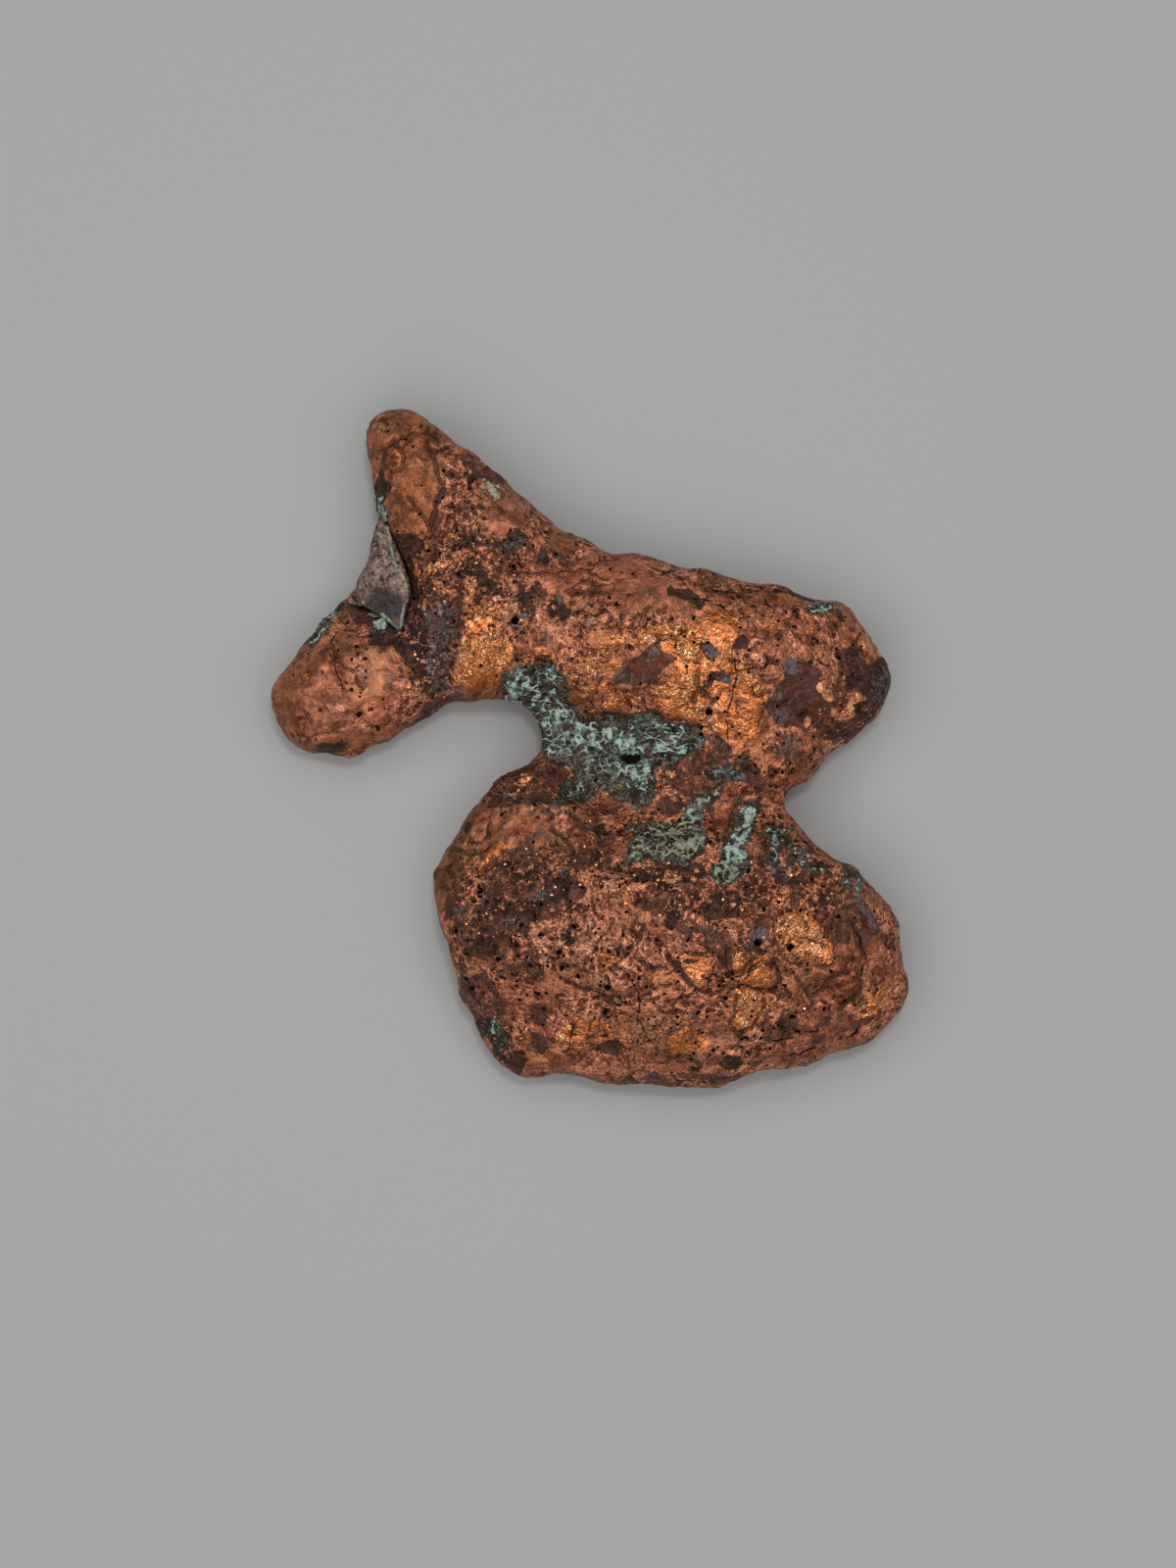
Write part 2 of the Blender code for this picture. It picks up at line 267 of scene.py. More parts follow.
TENORITE_PATCHES = [
    (0.75, [(-18.1, 19.7), (-14.4, 19.3), (-14.6, 17.9), (-15.7, 17.1), (-15.8, 15.4), (-15.2, 13.5),
     (-14.6, 12.0), (-14.4, 9.0), (-14.4, 6.8), (-15.3, 6.4), (-16.8, 7.9), (-18.2, 9.7), (-19.7, 11.1),
     (-17.3, 11.1), (-16.3, 14.7), (-17.3, 17.1)]),
    (1.0, [(23.2, 9.2), (23.9, 9.2), (25.4, 7.9), (26.1, 6.8), (27.4, 5.6), (27.1, 4.5), (26.1, 3.6),
     (25.2, 4.5), (24.1, 5.6), (23.4, 6.8)]),
    (0.9, [(13.9, 10.6), (14.7, 9.7), (13.8, 8.7), (12.9, 9.0), (13.0, 9.5)]),
    (1.0, [(-8.7, -10.2), (-7.0, -10.1), (-6.6, -9.9), (-5.9, -10.6), (-4.8, -10.6), (-4.7, -11.3),
     (-6.2, -11.5), (-6.5, -12.3), (-7.2, -11.9), (-8.0, -11.2)]),
    (0.95, [(-3.6, -11.4), (-2.0, -11.2), (-1.7, -12.2), (-2.0, -13.8), (-3.1, -13.7), (-4.1, -14.8),
     (-4.4, -15.6), (-5.2, -16.6), (-6.2, -17.1), (-6.8, -16.9), (-7.0, -15.4), (-5.8, -14.1),
     (-4.9, -13.4)]),
    (0.95, [(-8.7, -12.6), (-8.2, -12.9), (-8.1, -13.8), (-6.9, -13.9), (-6.0, -14.2), (-7.0, -15.4),
     (-8.0, -15.4), (-9.5, -15.2), (-10.8, -14.9), (-10.0, -13.9), (-10.0, -12.9)]),
    (0.7, [(-10.3, -17.1), (-9.6, -16.8), (-8.7, -17.6), (-8.1, -17.9), (-8.7, -18.7), (-9.6, -18.7),
     (-10.7, -18.4), (-10.8, -18.0)]),
    (0.6, [(2.8, -10.4), (6.5, -10.5), (10.4, -10.4), (10.9, -11.6), (9.6, -12.4), (6.8, -12.2),
     (4.0, -12.0)]),
    (0.6, [(16.4, -10.5), (18.6, -10.4), (19.2, -11.6), (18.6, -12.8), (16.8, -12.4)]),
    (0.7, [(10.0, -13.9), (11.8, -13.1), (13.7, -13.7), (13.5, -15.4), (11.8, -15.4), (9.6, -14.9)]),
    (0.9, [(-9.7, -24.6), (-8.6, -24.8), (-6.8, -27.0), (-5.4, -28.4), (-6.4, -29.8), (-8.2, -28.6),
     (-10.2, -25.8)]),
]
# most of a ring round a lost nodule
RING_STEP = 0.52
RING = [
    (-10.0 + 1.15 * math.cos(turn * RING_STEP), -7.4 + 1.15 * math.sin(turn * RING_STEP))
    for turn in (*range(5, 13), 0, 1)
]
TENORITE_STREAKS = [
    (0.2, 0.6, RING),
    (0.2, 0.6, [(7.7, -19.3), (8.5, -20.2), (9.2, -21.4), (10.3, -22.2), (11.0, -22.0)]),
    (0.45, 0.7, [(-8.2, -4.3), (-6.4, -4.6), (-3.6, -4.7)]), (0.4, 0.75, [(-11.5, 18.9), (-7.1, 18.6)]),
    (0.2, 0.9, [(-10.7, 22.1), (-9.2, 21.6)]), (0.3, 0.45, [(-0.3, 3.3), (3.2, 2.9), (6.4, 3.0)]),
    (0.14, 0.8, [(11.4, 14.6), (13.6, 14.4), (16.0, 14.6), (18.6, 14.3), (20.4, 13.7)]),
    (0.2, 0.8, [(-1.9, -21.4), (-0.4, -21.6), (2.5, -22.5), (4.0, -23.2)]),
    (0.18, 0.8, [(2.2, -17.7), (3.7, -18.7), (5.2, -19.5), (5.9, -19.6)]),
    (0.5, 0.6, [(7.4, 14.0), (8.6, 13.9), (10.0, 13.1)]),
    (0.35, 1.0, [(10.5, 5.0), (10.4, 5.9), (11.0, 6.6), (12.0, 6.6), (12.7, 6.3)]),
]
TENORITE = [
    (-18.9, 23.8, 0.7, 1.5, 1.0, 5), (-14.4, 6.0, 1.4, 1.2, 0.5), (-19.0, 10.2, 1.2, 0.7, 0.7, -10),
    (-6.3, 19.0, 0.8, 0.7, 0.9), (-10.8, 16.3, 1.1, 1.0, 0.75, 30), (-9.5, 15.1, 0.9, 0.8, 0.7),
    (-4.2, 17.3, 0.6, 0.7, 0.7), (-5.5, 12.7, 0.8, 1.3, 0.9, 10), (-11.0, 16.3, 0.9, 0.9, 0.9),
    (-8.9, 14.6, 1.2, 0.8, 0.55, 20), (-2.7, 12.6, 0.9, 1.0, 0.5), (-12.9, 11.2, 1.0, 1.8, 0.4),
    (-14.2, 8.4, 1.3, 1.8, 0.6), (-12.2, 18.3, 1.2, 0.5, 0.6, 20), (-6.7, 11.6, 0.6, 0.6),
    (10.7, 8.8, 0.9, 0.7, 1.0, -10), (24.2, 6.2, 0.9, 1.3, 0.9), (-12.5, 25.0, 0.6, 0.4, 0.7, 40),
    (-10.6, 24.6, 0.7, 0.5, 0.7), (10.8, 3.3, 0.4, 0.4), (-23.6, 0.0, 1.5, 0.5, 0.7, 8),
    (25.2, 3.6, 0.9, 1.2, 0.8, -20), (0.9, -7.3, 0.9, 0.8, 0.7), (0.8, -9.7, 0.8, 0.7, 0.7),
    (-1.4, -10.4, 0.7, 1.0, 0.6, 10), (-1.0, -14.8, 1.6, 0.6, 0.4, 5), (-1.9, -16.9, 0.8, 1.0, 0.4),
    (7.5, -15.0, 0.7, 1.4, 0.8, -20), (15.0, -17.6, 0.8, 0.6, 0.9), (15.4, -16.4, 0.4, 0.8, 0.7),
    (15.2, -18.2, 1.0, 0.4, 0.3, -10), (18.2, -17.9, 0.5, 0.4, 0.9), (1.6, -27.2, 1.7, 0.7, 0.5, 5),
    (9.2, -19.2, 0.4, 0.35, 0.5), (12.9, -28.7, 1.2, 0.7, 0.6), (21.5, -13.4, 1.6, 0.6, 0.5, -35),
    (5.4, -10.8, 0.9, 0.6, 0.4, 20), (26.2, 6.2, 1.3, 2.2, 1.0, -25),
    (22.6, 1.4, 1.0, 0.4, 0.5, 30), (21.2, 12.9, 0.7, 0.5, 0.8, -20), (22.8, 12.0, 0.8, 0.4, 0.6, -35),
    (-15.0, 2.6, 0.9, 0.5, 0.5, 20), (-10.4, 3.6, 1.6, 0.4, 0.5, 10), (14.8, -1.6, 1.2, 0.5, 0.5, -30),
]
tenorite = marks(
    TENORITE, TENORITE_PATCHES, TENORITE_STREAKS, beneath=islands(4.5, 3, 2.0, 0.1, 0.6, 1.2, -0.3)
)
CUPRITE_PATCHES = [
    (1.0, [(5.9, 9.7), (6.4, 9.6), (6.6, 8.9), (7.8, 8.3), (6.6, 7.4), (6.0, 6.3), (7.1, 5.9), (6.5, 5.3),
     (5.3, 5.9), (3.7, 5.4), (2.7, 5.9), (2.3, 6.8), (3.7, 7.9), (4.9, 8.8)]),
    (0.95, [(17.9, 8.0), (18.9, 7.7), (20.1, 8.0), (21.2, 7.4), (21.0, 6.8), (21.6, 5.9), (22.1, 4.5),
     (22.5, 3.6), (21.6, 2.5), (20.1, 1.6), (17.9, 1.8), (16.6, 2.5), (16.2, 4.5), (17.1, 5.4),
     (17.7, 6.8)]),
    (0.9, [(22.5, 9.0), (23.9, 9.2), (23.2, 5.0), (24.6, 2.6), (23.4, 1.2), (21.8, 2.4), (22.6, 5.9)]),
    (0.8, [(-15.8, 14.4), (-13.5, 13.6), (-11.3, 13.5), (-11.2, 11.7), (-11.8, 10.0), (-11.6, 8.7),
     (-12.5, 7.4), (-12.7, 5.2), (-14.6, 4.6), (-15.8, 5.7), (-15.5, 7.4), (-15.8, 9.2), (-18.0, 10.6),
     (-16.9, 12.4)]),
    (0.7, [(6.4, 0.0), (9.4, 0.0), (11.6, -0.6), (12.6, -1.8), (14.3, -1.8), (14.4, -2.8), (11.0, -2.4),
     (8.4, -1.6), (6.6, -1.2)]),
    (0.6, [(-4.0, -1.4), (-2.4, -1.3), (-1.6, -2.4), (-2.6, -3.8), (-4.4, -3.8), (-8.6, -3.6), (-9.6, -4.9),
     (-7.4, -5.2), (-3.4, -5.1), (-1.4, -5.4), (-4.6, -2.2)]),
]
CUPRITE = [
    (-11.6, -16.6, 1.2, 2.6, 0.4, 15), (-9.6, -22.6, 1.6, 2.4, 0.45, 25), (6.2, -13.6, 2.4, 1.3, 0.5, -5),
    (8.4, -13.4, 1.6, 1.4, 0.6), (11.6, -17.0, 2.2, 0.8, 0.4, -10), (12.0, -19.2, 0.5, 1.6, 0.7),
    (-1.6, -12.8, 1.6, 1.0, 0.5, 20), (2.4, -22.4, 2.6, 0.8, 0.35, -10), (17.6, -25.4, 1.8, 1.1, 0.6, 15),
    (-13.4, 21.0, 0.9, 3.4, 0.35, -6), (-9.4, 24.8, 2.4, 0.6, 0.4, -40), (-4.0, 17.4, 2.2, 0.8, 0.35, -20),
    (-5.6, 14.4, 2.0, 1.4, 0.4, -20), (-8.0, 16.4, 2.0, 1.6, 0.3), (25.2, -15.2, 0.8, 2.4, 0.55, 30),
    (-11.2, 21.2, 1.0, 3.0, 0.35, 25), (-6.4, -11.4, 3.2, 2.6, 0.5), (-4.8, -13.6, 3.4, 2.4, 0.52, 30),
    (-12.2, -14.2, 1.0, 1.6, 0.8), (-9.2, -17.4, 2.2, 1.8, 0.45, -60), (0.8, -8.6, 1.8, 2.4, 0.5),
    (13.0, -12.4, 3.4, 1.3, 0.42, -10), (20.6, -11.8, 3.4, 1.6, 0.36, -40),
    (16.6, -9.0, 1.2, 2.6, 0.6, -10), (-4.8, -8.6, 1.4, 1.0, 0.35, 40), (2.4, -25.6, 3.8, 1.4, 0.2),
    (-5.2, -24.4, 1.8, 2.4, 0.25, 20), (22.8, -16.2, 0.9, 2.2, 0.6, 25), (-4.6, -24.1, 1.0, 0.9, 0.7),
    (-4.6, -26.8, 0.9, 0.8, 0.6), (-6.8, -20.4, 0.9, 0.7, 0.4), (9.6, -2.6, 3.4, 1.4, 0.6, -6),
    (-1.6, -5.6, 2.6, 1.0, 0.3), (-6.8, -3.4, 3.0, 1.4, 0.5, 25), (13.8, -2.0, 2.6, 0.9, 0.4, -30),
    (11.9, 0.3, 1.1, 0.8, 0.8, -20), (18.0, -0.2, 1.4, 0.7, 0.45, -20), (23.2, 2.2, 2.6, 2.4, 0.62),
    (8.6, -30.2, 5.4, 0.6, 0.4, 2), (16.0, -15.2, 0.8, 0.7, 0.5, 30), (20.8, -14.4, 1.6, 0.5, 0.6, -40),
    (2.0, -4.9, 1.0, 0.8, 0.6), (7.4, -5.2, 1.0, 0.7, 0.5), (18.2, -13.2, 1.0, 1.2, 0.35),
    (-22.6, 8.4, 0.9, 2.2, 0.22, 10), (-20.2, 12.2, 2.2, 0.9, 0.75, -30), (-13.2, 3.8, 2.2, 0.8, 0.5, 20),
    (-8.5, 17.6, 2.2, 1.2, 0.3, -10), (-13.4, 15.4, 2.4, 2.2, 0.38), (24.4, -16.4, 0.9, 2.4, 0.4, 20),
    (9.0, -16.6, 2.0, 1.2, 0.35, -30), (-5.1, -19.8, 1.2, 1.6, 0.42), (-7.5, -15.4, 1.6, 1.4, 0.55),
    (15.8, -16.6, 0.8, 1.0, 0.42), (22.6, -25.2, 3.6, 0.8, 0.35, 22), (-11.8, -21.6, 1.0, 3.4, 0.35, 22),
]
cuprite = marks(CUPRITE, CUPRITE_PATCHES, beneath=islands(6.0, 3, 3.0, -0.1, 0.5, 1.2, -0.35))

# ----------------------------------------------------------------------------------------------------------
# Bright copper: rubbed or freshly grown metal, golden-orange and granular, where no oxide took hold.
# ----------------------------------------------------------------------------------------------------------

BRIGHT_PATCHES = [
    (0.9, [(-10.7, 13.3), (-8.9, 13.5), (-8.0, 12.6), (-7.6, 11.7), (-7.5, 10.3), (-7.0, 9.2), (-7.2, 8.0),
     (-7.8, 7.2), (-8.3, 5.9), (-10.1, 5.5), (-12.1, 5.2), (-12.5, 6.5), (-11.9, 8.0), (-11.5, 8.9),
     (-11.6, 10.0), (-11.2, 11.5), (-11.0, 12.4)]),
    (0.75, [(3.5, 10.6), (6.6, 11.2), (9.6, 11.4), (11.2, 12.4), (13.8, 12.0), (12.9, 9.5), (12.9, 6.8),
     (12.7, 2.7), (12.9, 1.0), (11.2, 1.7), (8.9, 2.9), (6.9, 4.1), (6.6, 5.9), (7.1, 7.7), (6.2, 9.7),
     (3.1, 9.5)]),
    (0.5, [(13.4, 6.3), (15.6, 6.6), (15.9, 4.5), (15.6, 2.3), (15.2, 0.8), (13.3, 0.3), (13.1, 3.2)]),
    (1.0, [(17.2, -16.2), (18.4, -14.2), (19.9, -14.9), (21.1, -15.8), (21.9, -17.0), (22.3, -18.1),
     (22.6, -19.6), (21.4, -19.8), (20.8, -18.9), (19.5, -19.0), (18.2, -19.6), (17.7, -18.1),
     (16.7, -17.4), (17.7, -17.3)]),
    (0.6, [(12.6, -17.8), (14.0, -17.7), (14.9, -18.7), (14.7, -19.6), (14.1, -20.5), (13.1, -20.4),
     (12.6, -19.6)]),
    (0.85, [(14.9, -19.3), (16.1, -19.2), (16.6, -19.6), (16.5, -21.3), (15.6, -21.5), (14.4, -21.2),
     (13.2, -21.3), (13.1, -21.0), (14.3, -20.5)]),
    (0.95, [(12.9, -21.8), (15.6, -21.9), (15.9, -22.9), (15.5, -24.1), (14.3, -25.0), (13.4, -25.8),
     (12.6, -25.0), (13.2, -24.3), (13.4, -22.9)]),
    (0.45, [(7.8, -18.3), (9.2, -18.7), (11.0, -18.3), (11.3, -19.3), (10.8, -20.5), (10.7, -21.7),
     (10.1, -22.0), (9.4, -21.0), (8.5, -19.7)]),
    (0.8, [(26.6, -20.4), (27.5, -21.0), (27.4, -23.0), (25.4, -24.8), (24.0, -24.4), (25.6, -22.6)]),
]
# painted highlight: the ovals at (7.3, -11.5) and (9.7, -11.8) mark glints, painted as bright copper
BRIGHT = [
    (-1.4, 9.2, 3.0, 1.4, 0.27, 8), (-0.6, 6.0, 3.2, 1.6, 0.35, 5), (2.6, 8.8, 1.6, 1.6, 0.35),
    (12.2, 11.2, 1.8, 1.4), (8.2, 9.6, 2.4, 1.3, 0.9), (7.2, 4.6, 1.3, 1.6, 0.8),
    (11.2, 3.0, 2.2, 1.8, 0.9), (13.3, 6.2, 0.9, 1.4, 0.6), (2.8, 4.2, 1.6, 0.6, 0.45),
    (14.4, 1.8, 1.2, 1.1, 0.5, -10), (-13.9, 16.2, 1.7, 0.4, 0.65, 12), (-10.7, 14.6, 0.5, 1.1, 0.7, -10),
    (-13.2, 18.9, 1.4, 0.8, 0.35), (-17.8, 26.6, 0.7, 1.0, 0.32), (-13.2, 14.2, 1.1, 0.4, 0.7),
    (-5.8, -2.9, 1.2, 0.8, 0.85, 10), (7.4, -2.0, 0.9, 0.5, 0.8), (11.0, 0.3, 0.35, 0.3, 0.9),
    (-8.4, -9.4, 1.4, 0.9, 0.5, 20), (23.5, 3.0, 0.9, 1.0, 1.0, -20), (23.2, 0.2, 0.9, 0.35, 0.9, 10),
    (21.5, 0.4, 0.8, 0.6, 0.6), (24.6, 4.8, 0.4, 0.7, 0.8, -30), (20.2, 2.4, 0.5, 0.6, 0.8),
    (18.0, -13.6, 1.4, 0.9, 0.6, -10), (21.4, -13.4, 1.2, 0.4, 0.6, -20), (8.8, -26.6, 1.7, 1.3, 0.45),
    (-4.6, -28.2, 1.4, 0.6, 0.85, 5), (7.3, -11.5, 0.7, 0.4), (9.7, -11.8, 0.5, 0.3, 0.9),
    (22.2, 1.0, 0.4, 0.5, 0.9), (6.0, -21.0, 1.8, 1.0, 0.22),
    (3.9, -13.5, 0.9, 0.7, 0.45), (-9.4, -10.7, 1.0, 0.8, 0.45), (18.8, -16.0, 1.2, 1.2, 1.1),
    (14.4, -22.5, 1.9, 1.1), (14.2, -24.0, 1.4, 1.6), (18.7, -18.8, 1.0, 0.7, 0.7), (11.6, 3.1, 1.3, 1.4),
    (17.2, 12.6, 3.8, 1.8, 0.31, -22), (-2.8, -18.7, 1.0, 1.0, 0.35), (9.7, -26.3, 1.6, 1.0, 0.35),
    (8.2, -28.0, 2.2, 0.9, 0.25), (1.8, -23.4, 1.0, 0.8, 0.35), (10.2, -21.8, 1.4, 0.6, 0.5, -35),
    (15.8, -19.2, 0.9, 0.6, 0.6), (18.2, -16.2, 0.9, 1.2), (1.6, -19.0, 1.2, 0.9, 0.55),
    (20.3, -21.2, 0.8, 1.0, 0.3, 10), (23.6, 3.0, 0.8, 0.9, 0.8), (0.4, -26.2, 3.4, 1.4, 0.4),
    (-25.7, 6.9, 0.35, 0.4, 0.9), (-22.9, 11.4, 0.3, 0.4, 0.7), (-16.2, 5.4, 0.4, 0.4, 0.9),
    (-23.2, 8.0, 0.3, 0.3, 0.8), (2.6, -1.2, 0.6, 0.4, 0.4), (-7.3, -11.0, 0.35, 0.4, 0.8),
]
# small bright flakes that lie on the oxide, and broad faint ones over the gold plates. Some of them sit
# where glints are and are painted bright to stand in for them: partly painted highlight
FLAKES = [
    (7.3, -11.5, 0.6, 0.35), (9.7, -11.8, 0.45, 0.3), (21.2, 5.8, 0.45, 0.4),
    (21.7, 4.9, 0.3, 0.5, 1.0, 20), (22.3, 6.6, 0.35, 0.5), (24.6, 4.5, 0.9, 0.35, 1.0, 20),
    (23.8, 4.0, 0.35, 0.7, 1.0, -30), (23.5, 3.0, 0.8, 0.9, 1.0, -20), (20.0, 2.2, 0.45, 0.5),
    (20.7, 1.2, 0.5, 0.3), (21.9, 0.4, 0.7, 0.3), (22.9, 0.5, 0.5, 0.3), (22.2, 3.4, 0.3, 0.6, 1.0, 30),
    (25.9, 8.4, 0.16, 1.4, 1.0, 32), (26.4, 8.8, 0.35, 0.5), (19.6, 9.5, 0.5, 0.3),
    (21.1, 8.8, 0.5, 0.3, 1.0, 30), (17.3, 6.4, 0.2, 0.6, 0.8, 10), (24.0, -14.0, 0.5, 0.25),
    (21.4, -12.8, 0.3, 0.25), (26.9, -15.4, 0.25, 0.35), (-13.6, 16.5, 1.7, 0.4, 1.0, 20),
    (-12.9, 14.4, 0.8, 0.25, 1.0, -10), (-10.6, 14.8, 0.3, 0.8, 1.0, -10), (-9.4, 12.9, 0.5, 0.3),
    (-14.9, 13.2, 0.25, 0.4), (-7.3, -11.0, 0.35, 0.3), (-7.8, -14.4, 0.3, 0.25),
    (-5.8, -2.9, 1.0, 0.4, 1.0, 10), (7.4, -2.1, 0.6, 0.25), (1.3, -9.9, 0.3, 0.25),
    (-9.8, -12.4, 0.3, 0.4, 0.9, 30), (5.1, -8.0, 0.3, 0.3, 0.8), (-6.4, -24.4, 0.3, 0.5, 0.9, 20),
    (25.4, -22.0, 0.3, 0.9, 1.0, 20), (26.8, -21.0, 0.8, 0.3, 1.0, 10), (26.6, -23.2, 0.7, 0.3, 1.0, -20),
    (27.3, -22.0, 0.3, 0.7), (18.5, -16.2, 1.3, 1.4, 0.43), (20.4, -17.9, 1.5, 1.2, 0.36),
    (18.5, -18.5, 0.9, 0.6, 0.4), (14.5, -22.6, 1.1, 0.9, 0.4), (14.0, -24.3, 0.9, 1.0, 0.38),
    (10.9, 3.3, 1.2, 1.8, 0.37), (-4.4, -28.4, 0.9, 0.3, 1.0, 5), (16.2, -27.6, 0.4, 0.25, 0.8),
    (12.9, -12.2, 0.3, 0.3), (-16.2, 5.4, 0.3, 0.3),
]
flake = marks(FLAKES, beneath=islands(2.4, 3, 21.0, 0.35, 0.75, 1.2, -0.3))
bright = marks(BRIGHT, BRIGHT_PATCHES, beneath=islands(5.0, 3, 5.0, 0.1, 0.6, 1.0, -0.2))
bright = np.maximum(bright, flake)

# ----------------------------------------------------------------------------------------------------------
# Skins of tint over the brown metal: warm amber on the horn, pinkish on the prong and the lobe's upper
# left, olive along the bar's top and the lobe's foot, thin blue-grey films that are partly painted sheen
# on the dark oxide, and russet between.
# ----------------------------------------------------------------------------------------------------------

AMBER = [
    (-15.8, 22.0, 2.3, 3.2, 1.0, 8), (-16.6, 27.0, 2.4, 2.8, 0.5), (12.6, 11.0, 1.8, 1.3, 0.8),
    (15.0, 3.4, 1.0, 3.0, 0.6), (21.4, 5.9, 0.7, 0.9, 0.7), (4.0, 4.9, 2.2, 0.7, 0.5),
    (-12.6, -7.6, 1.4, 1.6, 0.4), (-5.0, -3.0, 2.6, 1.0, 0.5, 20), (9.4, -19.6, 1.6, 1.8, 0.6),
    (13.6, -19.0, 1.2, 1.4, 0.7), (18.2, -13.4, 1.6, 1.2, 0.7), (-17.8, 26.5, 0.9, 1.2),
    (-14.4, 29.0, 0.8, 0.5, 1.0, -40),
]
PINKISH = [
    (-20.6, 8.2, 2.2, 1.8, 1.0, -20), (-19.4, 6.4, 1.6, 1.8, 0.8, -20), (-23.4, 3.6, 3.2, 2.2, 0.35, 15),
    (-7.4, 21.6, 2.4, 1.6, 0.4, -40), (-1.2, -5.6, 1.8, 0.8, 0.6), (-4.2, -6.0, 2.2, 0.8, 0.6, 5),
    (7.8, -3.9, 1.4, 1.2, 0.9), (-1.2, -7.8, 2.2, 1.0, 0.7), (2.4, -11.0, 1.6, 1.8, 0.7),
    (-7.2, -10.6, 0.5, 0.5), (-9.6, -11.6, 1.4, 1.2, 0.6, 30), (-9.0, -15.8, 2.6, 1.2, 0.8, -10),
    (-6.6, -13.2, 1.2, 0.6, 0.7, 30), (-2.0, -17.6, 3.6, 2.4, 0.75, 10), (6.0, -17.0, 3.4, 2.2, 0.5),
    (9.6, -3.8, 2.0, 1.0, 0.8, 10), (12.0, -26.6, 5.4, 1.8, 0.6, 8), (17.6, -24.2, 2.2, 0.8, 0.6, 20),
    (0.6, -20.4, 2.6, 1.2, 0.7, -10), (22.6, -16.0, 1.0, 1.4, 0.4), (-5.6, -20.6, 2.2, 1.4, 0.4),
]
OLIVE = [
    (0.9, 11.2, 1.4, 1.0, 0.8), (8.2, 12.9, 1.4, 0.9, 0.7), (1.4, 13.4, 3.4, 1.2, 0.8, -4),
    (-9.0, -7.6, 4.4, 2.8, 0.9, 20), (-11.4, -10.6, 1.6, 2.4, 0.8, -20), (-13.3, 26.2, 1.6, 2.0, 0.9, -40),
    (4.4, 13.6, 2.4, 1.4, 0.6), (-5.2, 9.6, 1.6, 2.0, 0.7), (-10.4, 21.2, 1.6, 2.4, 0.8),
    (-2.3, 18.7, 1.8, 1.2, 0.9, -20), (-7.3, 13.4, 1.1, 1.1, 0.8), (7.0, 14.4, 4.0, 1.2, 0.3, -12),
    (-22.4, 10.6, 1.4, 2.2, 0.9, 40), (-27.0, 4.0, 1.2, 2.6, 0.6, 20), (-17.8, 29.0, 2.4, 1.6, 0.7),
    (-14.6, 25.4, 1.0, 2.2, 0.7, 10), (-4.0, -20.7, 0.9, 0.8, 0.9, 30), (5.6, -25.6, 4.2, 2.2, 0.7),
    (2.9, -13.6, 1.3, 1.0, 0.6), (16.8, -25.8, 3.2, 0.9, 0.5, 10), (-13.4, -9.6, 0.9, 4.4, 0.6, -22),
    (-2.0, -10.4, 1.6, 1.2, 0.7), (1.4, -24.4, 2.6, 1.0, 0.5), (25.4, -22.0, 1.6, 2.0, 0.6, 30),
    (3.6, -15.4, 1.4, 1.2, 0.5), (20.2, -21.0, 1.1, 2.0, 0.8, 10), (17.4, -20.0, 0.6, 2.2, 0.8, 10),
    (8.8, -26.8, 1.9, 1.4, 0.6), (-3.2, -9.4, 1.6, 1.2, 0.7, 30), (-4.6, -8.0, 1.4, 1.2, 0.6),
    (-5.0, -8.8, 1.8, 1.4, 0.9, 40), (-0.4, 13.6, 2.8, 1.6, 0.8),
    (-13.0, -11.6, 0.9, 2.4, 0.6, -15), (22.6, -13.0, 1.6, 0.8, 0.7, -30), (-27.6, 1.6, 1.4, 1.8, 0.5, 20),
]
FILM_AND_SHEEN = [
    (-13.4, 11.2, 1.4, 2.2, 0.5, 5), (-13.8, 7.6, 1.2, 2.0, 0.45), (0.5, 11.8, 0.4, 0.35, 0.9, 30),
    (-0.9, 11.5, 0.5, 0.4, 0.8), (-3.7, 10.0, 0.5, 0.4, 0.6), (-2.5, 13.4, 0.4, 0.4, 0.6),
    (-6.2, 12.0, 1.1, 0.45, 0.8, 20), (10.7, 8.7, 0.8, 0.6, 1.0, -10), (10.6, 5.6, 0.45, 0.8, 0.9, -20),
    (12.0, 6.4, 0.8, 0.4, 0.7, -5), (5.6, 8.6, 0.3, 0.5, 0.8, -20), (-11.8, -14.9, 0.6, 0.6, 0.4),
    (-4.2, -12.8, 1.6, 0.4, 0.7, 35), (9.5, -24.2, 0.8, 0.5, 0.6), (25.2, -14.6, 0.35, 2.2, 0.8, 35),
    (-7.2, -4.4, 1.2, 0.4, 0.8, -20), (-8.0, -26.0, 0.4, 1.2, 0.7, 25), (15.2, -17.2, 1.2, 0.8, 0.8, 20),
    (-12.6, 5.4, 1.6, 0.6, 0.6, 10), (17.4, -10.8, 1.2, 0.8, 0.5, 40), (22.0, 12.8, 1.4, 0.4, 0.8, -25),
    (3.0, 6.6, 0.7, 0.9, 0.6, -20), (17.1, 4.4, 0.35, 2.4, 0.9, 5), (18.3, 7.2, 0.9, 0.8, 0.7),
    (-7.0, -15.8, 0.5, 0.4, 0.8), (-6.2, 18.8, 0.6, 0.4, 0.6), (-9.4, 18.6, 1.0, 0.3, 0.5),
    (18.2, 0.6, 0.8, 0.5, 0.4, 30), (26.6, 6.0, 0.8, 1.4, 0.4, -20), (10.6, 1.0, 1.0, 0.5, 0.6, -20),
    (-10.8, 3.4, 0.8, 0.5, 0.6),
]
